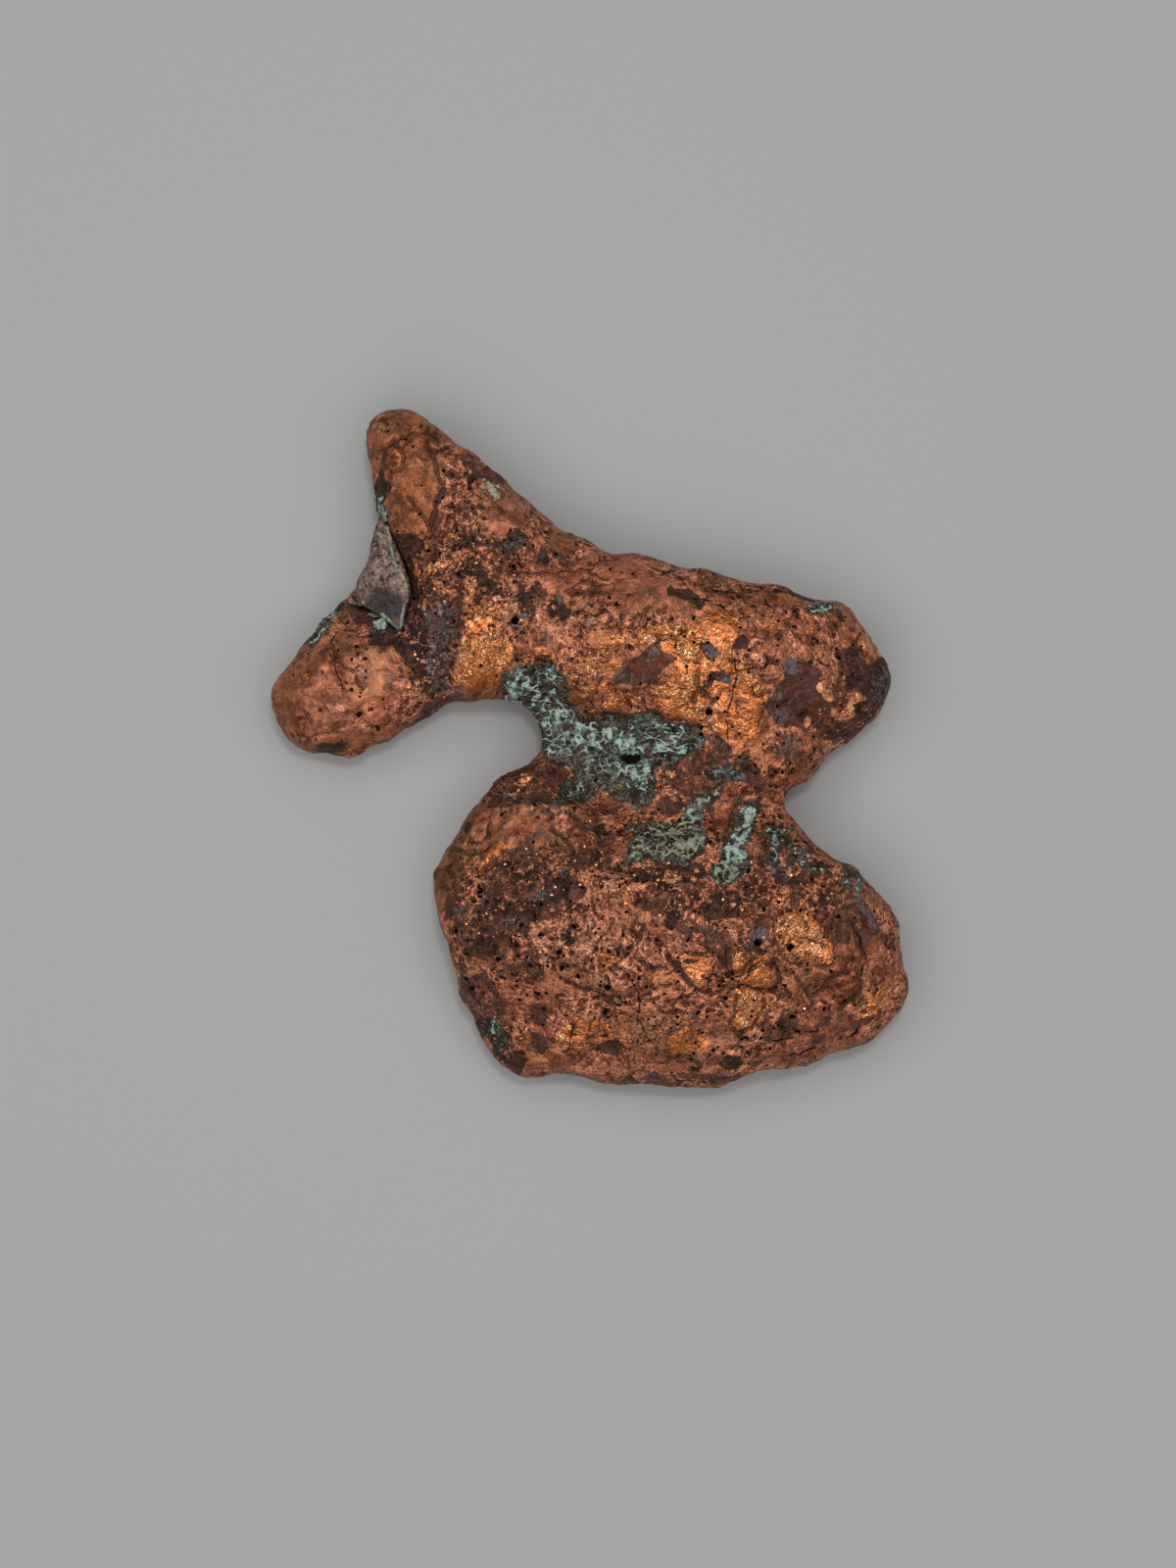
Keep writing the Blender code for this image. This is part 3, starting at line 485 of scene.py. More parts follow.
RUSSETS = [
    (12.6, -5.3, 1.2, 2.0, 1.0, -30), (11.5, -8.4, 0.6, 1.1, 0.8, -10), (22.9, -21.7, 1.7, 1.6, 1.0, 30),
    (18.8, -22.8, 0.7, 0.8, 0.8), (-2.8, -2.6, 1.1, 1.4, 0.9, -30), (0.8, -5.6, 1.8, 0.9, 0.8, -20),
    (3.0, -7.0, 0.7, 1.6, 0.6), (16.0, -8.4, 1.0, 1.8, 0.7), (22.0, -11.4, 3.4, 1.0, 0.7, -38),
    (15.4, -13.0, 1.8, 1.4, 0.6), (-5.4, -3.0, 3.4, 1.4, 0.7, 25), (-5.6, 9.0, 1.8, 1.4, 0.8),
    (9.2, -19.2, 0.6, 0.5, 0.8), (24.6, -12.6, 2.2, 0.8, 0.6, -40), (-1.6, -7.4, 0.9, 1.4, 0.5),
    (9.2, -0.8, 2.8, 0.8, 0.6, -5), (-12.0, 19.6, 1.4, 2.0, 0.6), (-7.8, 18.2, 1.8, 0.8, 0.5),
    (23.2, -19.2, 0.9, 2.0, 0.9), (21.0, -23.8, 1.8, 1.2, 0.8), (26.8, -19.6, 0.8, 1.2, 0.6),
    (-5.2, -19.8, 1.2, 2.0, 0.7), (17.4, 0.2, 1.8, 1.4, 0.6), (11.9, -23.8, 1.2, 1.2, 0.7),
    (-7.6, -21.6, 1.4, 1.2, 0.7), (4.8, -16.8, 1.4, 1.0, 0.7), (6.9, -18.7, 1.2, 1.8, 0.7),
    (1.0, -14.2, 1.3, 1.4, 0.6), (4.4, -20.8, 1.1, 1.2, 0.6), (7.5, -5.0, 1.2, 1.0, 0.6),
    (27.8, -17.4, 1.0, 2.4, 0.6, -15), (27.2, -24.0, 1.6, 1.0, 0.8, 40), (-9.4, -6.0, 1.8, 0.8, 0.8, 20),
    (-22.9, 7.2, 0.9, 1.6, 0.8, 20), (-25.4, 6.4, 0.9, 1.0, 0.6), (18.0, -0.2, 1.8, 1.0, 0.9, -20),
    (2.6, 13.2, 2.6, 1.0, 0.6, -5), (-2.0, 14.4, 1.4, 0.8, 0.5), (-6.0, -7.3, 1.6, 0.9, 0.6, 10),
    (-12.2, 23.0, 0.8, 3.4, 0.8, -10), (5.2, -16.8, 1.6, 1.3, 0.6), (26.6, -20.0, 0.9, 0.8, 0.7),
    (25.4, 8.2, 0.8, 1.2, 0.9, 30), (-23.6, 5.2, 1.6, 1.0, 0.4, 15), (15.2, -15.8, 0.9, 1.2, 0.6),
    (13.2, 9.6, 1.2, 0.7, 0.8), (15.6, 9.6, 2.0, 1.2, 0.4), (3.9, -19.8, 0.9, 0.8, 0.7),
    (14.8, -3.6, 1.2, 1.6, 0.8, -20), (12.0, 0.2, 1.0, 0.8, 0.9), (-11.9, 8.6, 0.8, 1.3, 0.9),
    (-26.4, 3.4, 0.9, 1.4, 0.6),
]
russet = marks(RUSSETS, beneath=islands(9.0, 2, 19.0, 0.0, 0.5, 0.9, -0.2))
amber = marks(AMBER)
pinkish = marks(PINKISH, beneath=islands(8.0, 2, 7.0, 0.0, 0.5, 1.0, -0.2))
olive = marks(OLIVE, beneath=islands(7.0, 2, 8.0, 0.0, 0.6, 1.0, -0.2))
film = marks(FILM_AND_SHEEN, beneath=islands(3.0, 3, 9.0, 0.3, 0.8, 0.8, -0.2))

# ----------------------------------------------------------------------------------------------------------
# Cracks, folds and pits: seams where flows of copper met, and small holes that gas and fallen grains left.
# The skin is also parted into plates a few mm wide, each with its own tone.
# ----------------------------------------------------------------------------------------------------------

SEAM_LIMIT = 9.0
CRACKS = [
    [(-5.4, 16.3), (-3.6, 15.9), (-1.8, 16.0), (-0.2, 16.4), (1.4, 17.2)],
    [(11.5, 15.9), (11.4, 14.5), (15.3, 14.8), (18.6, 14.4), (19.9, 13.8)], [(6.6, 16.0), (8.1, 16.6)],
    [(13.1, 8.8), (13.2, 6.8), (13.2, 5.4), (12.8, 4.2), (12.5, 3.2), (12.7, 1.8), (12.7, 0.2)],
    [(13.1, 6.9), (15.0, 7.2), (17.0, 7.8)],
    [(12.8, -21.5), (14.9, -21.5), (15.8, -21.8), (17.1, -22.0), (17.6, -21.5)],
    [(16.4, -19.0), (17.2, -19.9), (17.4, -21.2)],
    [(14.9, -19.2), (14.4, -20.4), (13.0, -20.9), (12.5, -20.2)],
    [(12.4, -17.8), (12.4, -19.4), (13.0, -20.5)],
    [(11.2, -18.2), (11.5, -19.4), (10.9, -20.6), (10.8, -21.8)],
    [(15.6, -28.3), (19.3, -27.4), (23.4, -26.3), (26.0, -24.4)],
    [(13.0, -27.4), (17.2, -26.6), (21.6, -25.4)], [(-23.6, 8.6), (-22.9, 7.0), (-22.4, 5.4)],
    [(24.0, -16.0), (25.2, -18.6), (24.9, -20.4)], [(-0.6, 12.4), (0.8, 12.0), (1.6, 12.8)],
    [(9.6, 13.6), (12.0, 13.0), (13.6, 11.6)], [(3.2, -20.0), (4.6, -22.2), (4.4, -24.4), (5.6, -26.4)],
    [(-2.6, -23.6), (-1.4, -25.2), (-1.8, -27.4)],
]


def seams(spots, runs, reach):
    """The gap to the nearest line seen from above, signed by its side, and 1 on it to 0 at the reach."""
    gap_by_side = np.full(len(spots), SEAM_LIMIT)
    for run in runs:
        for start, end in zip(run, run[1:]):
            gap, along, side = nearest_on(spots, start, end)
            gap_by_side = np.where(gap < np.abs(gap_by_side), gap * side, gap_by_side)
    return np.clip(gap_by_side, -1.0, 1.0), np.clip(1.0 - np.abs(gap_by_side) / reach, 0.0, 1.0) * upper


crack_side, crack_near = seams(jostle(places, 0.9, 0.3), CRACKS, 0.6)


def plates(spots, size, seed):
    """Cells about this size: how far in from its cell's edge each point lies, and its cell's own number."""
    shift = Vector((seed * 3.1, seed * 7.7, seed * -5.3))
    depths, tones = np.empty(len(spots)), np.empty(len(spots))
    for index, spot in enumerate(spots):
        gaps, middles = noise.voronoi(Vector(spot) / size + shift)
        depths[index] = (gaps[1] - gaps[0]) * size
        tones[index] = 0.5 + 0.5 * noise.cell(middles[0] * 9.7)
    return depths, tones


plate_depth, plate_tone = plates(jostle(jostle(places, 2.6, 1.0), 0.9, 0.35), 3.0, 5.0)
parting = np.clip(1.0 - plate_depth / 0.5, 0.0, 1.0) * soft_step(grain(places, 4.0, 2, 15.0), -0.15, 0.25)

# the plates and nodules that stand out have a dark line round them
OUTLINES = [
    [(16.9, -15.0), (16.7, -16.4), (17.0, -17.8), (18.2, -19.3), (20.2, -19.7), (21.6, -20.0),
     (22.6, -19.3), (22.4, -17.9), (21.7, -16.4), (20.5, -15.2)],
    [(8.1, -19.4), (8.7, -20.4), (9.8, -21.7), (11.1, -22.4), (12.6, -21.5)],
    [(9.4, -18.5), (11.5, -18.5), (12.5, -19.6)],
    [(12.6, -18.2), (14.3, -18.0), (14.7, -19.0), (13.9, -20.1), (12.8, -20.1), (12.6, -18.2)],
    [(14.5, -20.1), (15.7, -19.2), (17.1, -19.8), (17.3, -21.1), (16.4, -22.0), (14.9, -21.6),
     (13.5, -21.4)],
    [(13.1, -21.7), (13.4, -23.5), (12.8, -24.9), (13.6, -26.0), (15.1, -25.0), (15.9, -23.1),
     (15.8, -21.9)],
    [(18.3, -20.0), (20.5, -23.2), (19.6, -23.7)],
    [(20.4, -22.5), (22.3, -20.6), (24.4, -19.9), (24.8, -21.8), (22.9, -23.6)],
    [(-16.4, 22.9), (-14.4, 20.0), (-13.2, 23.6), (-14.6, 28.0)],
    [(-17.8, 28.1), (-18.5, 27.3), (-18.9, 26.4), (-18.6, 25.5), (-17.7, 25.1), (-16.9, 25.6),
     (-16.7, 26.6), (-17.2, 27.4), (-17.8, 28.1)],
    [(10.8, -3.6), (11.2, -6.0), (11.6, -8.4)], [(14.4, -3.6), (13.0, -6.0), (12.2, -8.4)],
    [(-23.4, 9.4), (-22.6, 7.6), (-21.4, 7.0), (-20.6, 5.4)],
    [(9.9, 7.4), (9.8, 5.8), (10.4, 4.9), (11.4, 4.4)], [(-12.4, -9.0), (-10.6, -9.6), (-9.0, -8.8)],
    [(-3.4, -7.2), (-1.6, -8.8), (-0.4, -11.0)],
]
parting = np.maximum(parting, seams(jostle(places, 1.2, 0.2), OUTLINES, 0.55)[1] * 1.1)

# the pits that stand out, each (x, y, radius)
PITS = [
    (-18.4, 29.6, 0.22), (-18.3, 28.9, 0.2), (-19.8, 3.5, 0.3), (-20.9, 3.0, 0.35), (-24.5, 3.5, 0.22),
    (-19.3, 2.0, 0.25), (-17.0, 3.3, 0.22), (-21.1, 9.3, 0.28), (-21.0, 8.7, 0.28), (-20.4, 8.3, 0.25),
    (-21.0, 7.2, 0.22), (-6.8, 16.6, 0.28), (-6.7, 17.6, 0.22), (-2.9, 17.7, 0.22), (-6.7, 11.6, 0.45),
    (5.4, 11.7, 0.22), (7.5, 11.7, 0.22), (9.5, 11.8, 0.25), (-1.0, 7.9, 0.22), (8.3, 9.8, 0.2),
    (7.8, 9.2, 0.2), (1.3, 4.3, 0.22), (3.8, 3.7, 0.22), (10.9, 3.3, 0.42), (20.3, 7.8, 0.3),
    (20.9, 13.0, 0.28), (13.6, 1.3, 0.22), (20.2, -0.9, 0.22), (20.5, -1.6, 0.25), (-7.9, -5.9, 0.22),
    (-4.6, -6.2, 0.2), (-12.2, -16.5, 0.3), (-8.2, -19.2, 0.3), (-6.6, -20.6, 0.25), (-4.4, -16.8, 0.3),
    (-2.9, -17.2, 0.28), (-2.7, -18.4, 0.35), (-5.4, -19.6, 0.3), (-2.4, -19.8, 0.3), (-1.0, -20.7, 0.28),
    (1.8, -18.3, 0.24), (6.4, -18.2, 0.24), (11.4, -27.4, 0.25), (12.2, -27.7, 0.22), (9.3, -28.2, 0.22),
    (14.1, -26.2, 0.22), (16.1, -27.3, 0.22), (19.0, -25.8, 0.28), (15.3, -17.5, 0.45), (18.3, -18.0, 0.4),
    (1.7, -21.6, 0.4), (9.9, -24.0, 0.3), (12.4, -22.6, 0.3), (18.6, -24.4, 0.3), (16.9, -25.4, 0.25),
    (-10.6, -21.8, 0.3), (-11.8, -19.0, 0.22),
]
pit = np.zeros(len(places))
for x, y, radius in PITS:
    gap = np.hypot(places[:, 0] - x, places[:, 1] - y)
    pit = np.maximum(pit, np.clip(0.5 + (0.8 * radius - gap) / 0.6, 0.0, 1.0) * upper)
# the crowds of pinprick pits, which the finish draws, thicker where the strength is higher
PITTED = [
    (-3.0, -18.4, 5.4, 4.6, 0.8, 10), (-1.0, -14.6, 4.0, 2.4, 0.3), (5.0, -20.4, 5.4, 4.6, 0.45),
    (12.0, -24.6, 5.4, 4.0, 0.5), (19.6, -0.6, 3.6, 3.0, 0.55, 20), (-9.6, -16.6, 3.4, 3.0, 0.3),
    (6.0, 11.6, 7.0, 1.8, 0.3), (8.6, 6.0, 3.4, 4.6, 0.55), (-19.6, 5.6, 4.0, 3.6, 0.25),
    (-8.0, 20.0, 4.0, 3.0, 0.2), (21.0, -23.4, 4.0, 2.4, 0.25), (20.2, -16.8, 2.4, 3.0, 0.25),
]
pitted = marks(PITTED, beneath=grain(places, 6.0, 2, 10.0) * 0.6)

# ----------------------------------------------------------------------------------------------------------
# The relief itself, which moves the mesh. Each mineral lifts or sinks the skin in its own way, over the
# lumps that the whole metal has.
# ----------------------------------------------------------------------------------------------------------

# how far each part of the relief stands up or sinks, in mm
LUMP_HEIGHT = 0.30
DENT_HEIGHT = 0.11
GRIT_HEIGHT = 0.05
PLATE_LIFT = 0.14
PARTING_DEPTH = 0.13
BRIGHT_LIFT = 0.10
CUPRITE_DEPTH = 0.10
SCAB_DEPTH = 0.12
CRACK_DEPTH = 0.10
PIT_DEPTH = 0.40

# where the skin is worn or coated smooth, with its strength
SMOOTH = [
    (-16.4, 25.2, 3.4, 7.0, 0.9, 8), (-23.0, 5.0, 6.4, 5.2, 0.85, 20), (3.6, 14.4, 9.0, 2.0, 1.0, -8),
    (18.2, 11.8, 5.0, 2.4, 0.45, -22), (-7.6, 21.4, 2.0, 3.6, 0.8, 35), (15.1, 2.8, 1.4, 3.4, 0.8),
    (-4.4, -7.4, 4.2, 2.6, 0.5, 10), (20.2, -21.2, 1.0, 2.0, 0.7, 10), (17.5, -20.4, 0.6, 1.8, 0.6, 10),
    (-13.4, -12.4, 1.9, 7.0, 0.75, -14), (6.0, -26.6, 9.0, 2.6, 0.45, 5), (21.4, -25.4, 5.6, 1.8, 0.8, 22),
    (22.4, -21.0, 2.2, 2.4, 0.9), (9.2, -18.8, 1.8, 2.2, 0.6), (24.0, -16.6, 1.6, 2.2, 0.5, 20),
    (-9.6, -7.6, 4.0, 3.0, 0.8, 15), (12.5, -5.2, 1.3, 2.0, 0.8, -30), (19.3, 4.8, 3.2, 3.4, 0.9),
    (4.8, 7.4, 2.8, 2.4, 0.9), (26.0, 6.2, 1.6, 2.4, 0.8, -25), (12.2, 11.2, 1.6, 1.2, 0.9),
    (25.4, -19.6, 2.0, 3.0, 0.6), (-1.0, 12.0, 4.6, 2.4, 0.3), (16.0, -20.2, 1.2, 1.4, 0.5),
    (3.4, -15.4, 1.8, 1.6, 0.4), (-4.2, -25.0, 1.6, 1.8, 0.5), (19.4, -21.4, 1.4, 2.0, 0.6, 10),
]
# where fine copper, oxide and crumbs are jumbled together, with its strength
JUMBLED = [
    (-14.2, 9.4, 3.0, 6.4, 1.0, 5), (-11.0, 16.0, 6.0, 4.0, 1.0, -10), (-5.6, 12.6, 2.6, 2.4, 0.5),
    (-7.4, -12.8, 5.6, 4.4, 1.0, 20), (0.6, -9.4, 3.0, 3.6, 0.8), (6.6, -12.4, 4.8, 2.6, 0.9),
    (14.6, -12.4, 4.4, 3.0, 0.8), (20.8, -11.6, 4.4, 2.6, 0.8, -38), (23.4, 2.4, 2.8, 2.8, 0.9),
    (-7.0, -3.6, 4.0, 1.8, 0.8, 20), (9.0, -3.4, 4.4, 2.0, 0.7, -6), (-8.4, -25.6, 2.4, 3.6, 0.7, 25),
    (18.4, -24.6, 4.4, 2.0, 0.7, 20), (-1.6, -16.6, 5.0, 3.0, 0.5), (10.6, -23.4, 2.6, 2.0, 0.6),
    (15.6, -17.6, 1.8, 2.0, 0.7), (17.0, -8.4, 2.4, 3.2, 0.7), (2.6, -24.6, 4.6, 2.6, 0.4),
]
jumbled = np.clip(marks(JUMBLED, beneath=grain(places, 6.0, 2, 18.0) * 0.9), 0.0, 1.0)
smoothness = np.clip(marks(SMOOTH, beneath=grain(places, 7.0, 2, 16.0) * 0.8 + 0.1) * 1.2 - 0.3, 0.0, 1.0)
dents = grain(places, 1.5, 3, 13.0)
grit = grain(places, 0.62, 2, 14.0)
crown = dents * 0.55 + grit * 0.45
relief = (
    grain(places, 4.6, 3, 12.0) * LUMP_HEIGHT
    + dents * DENT_HEIGHT * (1.0 - 0.6 * smoothness)
    + grit * GRIT_HEIGHT * (1.0 - 0.7 * smoothness)
    + (plate_tone - 0.5) * PLATE_LIFT * soft_step(plate_depth, 0.0, 0.5)
    - PARTING_DEPTH * soft_step(parting, 0.3, 1.0)
    + BRIGHT_LIFT * soft_step(bright, 0.4, 0.7)
    - CUPRITE_DEPTH * soft_step(cuprite, 0.4, 0.7)
    - SCAB_DEPTH * soft_step(tenorite, 0.4, 0.7)
    - SCAB_DEPTH * soft_step(malachite, 0.4, 0.7)
    - CRACK_DEPTH * soft_step(crack_near, 0.4, 1.0)
    - PIT_DEPTH * soft_step(pit, 0.35, 1.0)
)
# where the outline swells out or falls in, each (x, y, reach, how far out)
SWELLS = [
    (-8.6, 24.2, 2.8, 0.45), (-24.0, 12.1, 2.6, 0.85), (-11.3, -23.8, 3.4, 0.75), (-0.9, 19.5, 2.2, 0.6),
    (23.8, 0.5, 2.4, 0.65), (27.5, 7.4, 2.8, 0.5), (24.6, -27.2, 3.6, 0.5), (19.6, -28.4, 3.6, 0.45),
    (17.8, 15.0, 2.0, 0.5), (29.0, -22.8, 3.0, 0.4), (5.8, 17.6, 2.2, 0.45), (-18.4, 1.0, 2.0, 0.4),
    (-10.8, 4.4, 1.8, 0.3), (-12.8, -8.8, 2.0, 0.3), (-21.6, -0.5, 2.0, 0.3), (-4.0, 21.3, 2.2, 0.3),
    (-19.8, 29.4, 2.4, 0.25), (21.6, -8.8, 3.8, -0.55), (2.2, 18.6, 2.2, -0.55), (-1.8, -30.4, 4.0, -0.25),
    (-10.0, -4.6, 3.2, -0.5), (-9.6, -27.6, 2.2, -0.3), (21.2, 14.2, 2.2, -0.45), (18.9, -4.2, 1.8, -0.4),
    (-13.3, -18.4, 2.8, -0.4), (29.0, -18.6, 2.4, -0.35), (14.0, 15.9, 3.4, -0.4),
    (26.4, -12.8, 2.8, -0.35), (-20.2, 24.8, 2.4, -0.3),
]


def swelled(spots, outward, swells):
    """The spots moved sideways along their normals, most at each swell's middle."""
    far = np.zeros(len(spots))
    for x, y, reach, out in swells:
        gap = np.hypot(spots[:, 0] - x, spots[:, 1] - y)
        far += out * soft_step(reach - gap, 0.0, 0.9 * reach)
    return spots + outward * far[:, None] * (1.0, 1.0, 0.0)


places = swelled(places, normals, SWELLS)
# the worn feet stay flat, so that the nugget rests on them
foot = soft_step(-normals[:, 2], 0.9, 0.99) * soft_step(-places[:, 2], -0.5, -0.1)
relief = np.where(relief > 0, relief * (1.0 - foot), relief)
places = places + normals * relief[:, None]
places[:, 2] = np.maximum(places[:, 2], 0.0)
move_points(metal.data, places)
metal.data.shade_smooth()
paint(metal.data, {
    "malachite": malachite, "tenorite": tenorite, "cuprite": cuprite, "bright": bright, "amber": amber,
    "pinkish": pinkish, "olive": olive, "film": film, "crack_side": crack_side, "crack_near": crack_near,
    "pit": pit, "pitted": pitted, "coarse": 1.0 - 0.9 * smoothness, "jumbled": jumbled, "russet": russet,
    "plate_tone": plate_tone, "parting": parting, "crown": crown, "flake": flake,
    # painted shade: the steep sides, which the overhead light reaches less, are marked for darkening
    "flank": upper * soft_step(-normals[:, 2], -0.60, -0.10),
})

# ----------------------------------------------------------------------------------------------------------
# The metal's finish. Every field is roughened by fine noise before it is cut to an edge, so that a patch
# breaks up into flecks and flakes at its border. Crowns are rubbed bright and hollows stay dull.
# ----------------------------------------------------------------------------------------------------------


class Wire:
    """A socket in a node tree. Arithmetic on it adds Math nodes, and add() adds any other node."""

    def __init__(self, tree, socket=None):
        self.tree = tree
        self.socket = socket

    def add(self, kind, settings=None, sockets=None, out=0):
        """A new node with these settings, then these values or links on its sockets."""
        node = self.tree.nodes.new(kind)
        for name, value in (settings or {}).items():
            setattr(node, name, value)
        for name, value in (sockets or {}).items():
            if isinstance(value, Wire):
                self.tree.links.new(value.socket, node.inputs[name])
            else:
                node.inputs[name].default_value = value
        return Wire(self.tree, node.outputs[out])

    def maths(self, operation, *values):
        return self.add("ShaderNodeMath", {"operation": operation}, dict(enumerate(values)))

    def __add__(self, other):
        return self.maths("ADD", self, other)

    def __sub__(self, other):
        return self.maths("SUBTRACT", self, other)

    def __rsub__(self, other):
        return self.maths("SUBTRACT", other, self)

    def __mul__(self, other):
        return self.maths("MULTIPLY", self, other)

    __radd__ = __add__
    __rmul__ = __mul__

    def size(self):
        """How far it is from zero."""
        return self.maths("ABSOLUTE", self)

    def either(self, other):
        """The larger of the two."""
        return self.maths("MAXIMUM", self, other)

    def step(self, low, high):
        """0 below low, 1 above high, and smooth between."""
        sockets = {"Value": self, "From Min": low, "From Max": high}
        return self.add("ShaderNodeMapRange", {"interpolation_type": "SMOOTHSTEP"}, sockets)

    def mix(self, over, share):
        """This colour, with the other laid over it by its share."""
        sockets = {0: share, 6: self, 7: over if isinstance(over, Wire) else (*over, 1.0)}
        return self.add("ShaderNodeMix", {"data_type": "RGBA"}, sockets, out=2)

    def tinted(self, share):
        """This colour made brighter or darker."""
        grey = self.add("ShaderNodeCombineColor", None, {0: share, 1: share, 2: share})
        settings = {"data_type": "RGBA", "blend_type": "MULTIPLY"}
        return self.add("ShaderNodeMix", settings, {0: 1.0, 6: self, 7: grey}, out=2)

    def field(self, name):
        """A painted attribute."""
        return self.add("ShaderNodeAttribute", {"attribute_name": name}, out=2)

    def colour(self, rgb):
        """A plain colour, for mixing."""
        return self.add("ShaderNodeMix", {"data_type": "RGBA"}, {0: 0.0, 6: (*rgb, 1.0)}, out=2)

    def speckle(self, per_mm, detail=3.0, rough=0.6):
        """On a place: noise round zero, with this many features to the mm."""
        sockets = {"Vector": self, "Scale": per_mm, "Detail": detail, "Roughness": rough}
        return self.add("ShaderNodeTexNoise", None, sockets) - 0.5

    def cells(self, per_mm, out=0):
        """On a place: Voronoi cells, with this many to the mm."""
        return self.add("ShaderNodeTexVoronoi", None, {"Vector": self, "Scale": per_mm}, out)

    def channel(self, index):
        """The red, green or blue of this colour."""
        return self.add("ShaderNodeSeparateColor", None, {0: self}, index)

    def bent(self, per_mm, far):
        """This place pushed about by smooth noise, over about this far in mm."""
        push = self.add("ShaderNodeTexNoise", None, {"Vector": self, "Scale": per_mm, "Detail": 1.0}, out=1)
        push = self.add("ShaderNodeVectorMath", {"operation": "SUBTRACT"}, {0: push, 1: (0.5, 0.5, 0.5)})
        sockets = {0: push, 1: (far * 2,) * 3, 2: self}
        return self.add("ShaderNodeVectorMath", {"operation": "MULTIPLY_ADD"}, sockets)

    def stretched(self, factors):
        """This place scaled by a factor on each axis."""
        return self.add("ShaderNodeVectorMath", {"operation": "MULTIPLY"}, {0: self, 1: factors})


def new_finish(name):
    """A material with a bare Principled shader, and the Object place in mm to build on."""
    material = bpy.data.materials.new(name)
    material.use_nodes = True
    wire = Wire(material.node_tree).add("ShaderNodeTexCoord", out=3).stretched((1.0 / MM,) * 3)
    return material, material.node_tree.nodes["Principled BSDF"], wire


def feed(shader, **wires):
    """Link wires to the shader's sockets, named with _ for a space."""
    for name, wire in wires.items():
        wire.tree.links.new(wire.socket, shader.inputs[name.replace("_", " ")])


def finish(obj, material):
    """Give the piece this one material."""
    obj.data.materials.clear()
    obj.data.materials.append(material)


COPPER_BROWN = (0.52, 0.185, 0.100)
COPPER_RED = (0.25, 0.072, 0.038)
COPPER_PINK = (0.41, 0.180, 0.115)
COPPER_AMBER = (0.28, 0.090, 0.034)
COPPER_OLIVE = (0.235, 0.105, 0.048)
COPPER_TAN = (0.40, 0.145, 0.068)
COPPER_LACE = (0.84, 0.365, 0.215)
RUSSET = (0.21, 0.062, 0.032)
RUSSET_LACE = (0.30, 0.105, 0.072)
COPPER_GOLD = (1.00, 0.345, 0.130)
DEEP_GOLD = (0.61, 0.187, 0.057)
COPPER_PALE_AND_GLINT = (1.00, 0.50, 0.30)
FLAKE_GOLD = (1.00, 0.44, 0.22)
CUPRITE_PLUM = (0.076, 0.036, 0.030)
CUPRITE_RED = (0.155, 0.044, 0.028)
TENORITE_BLACK = (0.036, 0.021, 0.017)
ALLEY_BROWN = (0.085, 0.045, 0.028)
FILM_AND_SHEEN_BLUE = (0.20, 0.195, 0.205)
MALACHITE_STAIN = (0.017, 0.020, 0.015)
STAIN_BROWN = (0.068, 0.037, 0.024)
PAINTED_PIT_SHADE = (0.010, 0.007, 0.006)
MALACHITE_HAZE = (0.115, 0.130, 0.108)
MALACHITE_THREAD = (0.30, 0.36, 0.30)

copper_finish, shader, place = new_finish("native_copper_finish")
bent_place = place.bent(0.9, 0.9).bent(3.0, 0.25)
broad = place.speckle(0.16, 3.0)
medium = place.speckle(0.7, 4.0, 0.65)
fine = place.speckle(1.7, 3.0, 0.7)
finest = place.speckle(4.0, 2.0, 0.7)
ragged = medium * 1.1 + fine * 0.45 + finest * 0.12
jumble, crowned = place.field("jumbled"), place.field("crown")
# worn scales a few mm wide lie over the coarse metal: smooth inside, with a thin dark rim
scale_field = place.bent(0.5, 1.2).speckle(0.30, 3.0, 0.6) + fine * 0.12
scales = scale_field.step(0.0, 0.03) * (1.0 - jumble * 0.6)
scale_rims = (0.030 - (scale_field - 0.005).size()).step(0.0, 0.022) * (broad + medium).step(-0.06, 0.06)
coarse = place.field("coarse") * (1.0 - scales * 0.65)
plate_hue = place.field("plate_tone")
torn = ragged * (0.7 + jumble * 0.3)
crumb_colour = bent_place.cells(1.05, 1)
crumb_tone, crumb_hue = crumb_colour.channel(0), crumb_colour.channel(1)
crumb_dome = bent_place.cells(1.05)
grain_tone = bent_place.cells(2.4, 1).channel(0)
grain_dome = bent_place.cells(2.4)
# curls of copper stand up as a lace, with hollows between them
curl = place.bent(0.6, 0.8).speckle(0.85, 2.0).size()
small_curl = place.bent(1.3, 0.4).speckle(1.6, 1.0).size()
lace = (0.065 - curl).step(0.0, 0.06).either((0.06 - small_curl).step(0.0, 0.06) * 0.75) * coarse
hollows = (curl + small_curl * 0.6).step(0.14, 0.26) * coarse

skin = place.colour(COPPER_BROWN)
skin = skin.mix(COPPER_RED, (plate_hue + crumb_hue * 0.5 + broad * 2.0 + medium * 1.5).step(0.65, 1.35))
skin = skin.mix(COPPER_PINK, (place.field("pinkish") + ragged * 1.1).step(0.35, 0.75) * 0.85)
skin = skin.mix(COPPER_OLIVE, (place.field("olive") + ragged * 0.8).step(0.35, 0.75) * 0.85)
skin = skin.mix(COPPER_AMBER, (place.field("amber") + ragged * 0.6).step(0.35, 0.75) * 0.85)
tone = (
    1.13 + medium * 1.6 + fine * 0.7 + (crumb_tone - 0.5) * 0.75 + (plate_hue - 0.5) * 0.5 + crowned * 0.35
    + (fine * 1.4 + finest * 1.3 + (grain_tone - 0.5) * 0.5
       - grain_dome * 0.4 - crumb_dome * 0.5 + 0.38) * coarse
    + lace * 0.66 - hollows * 0.60
)
skin = skin.mix(COPPER_TAN, scales * 0.6)
skin = skin.mix(RUSSET, (place.field("russet") + ragged * 0.8).step(0.40, 0.65) * 0.85)
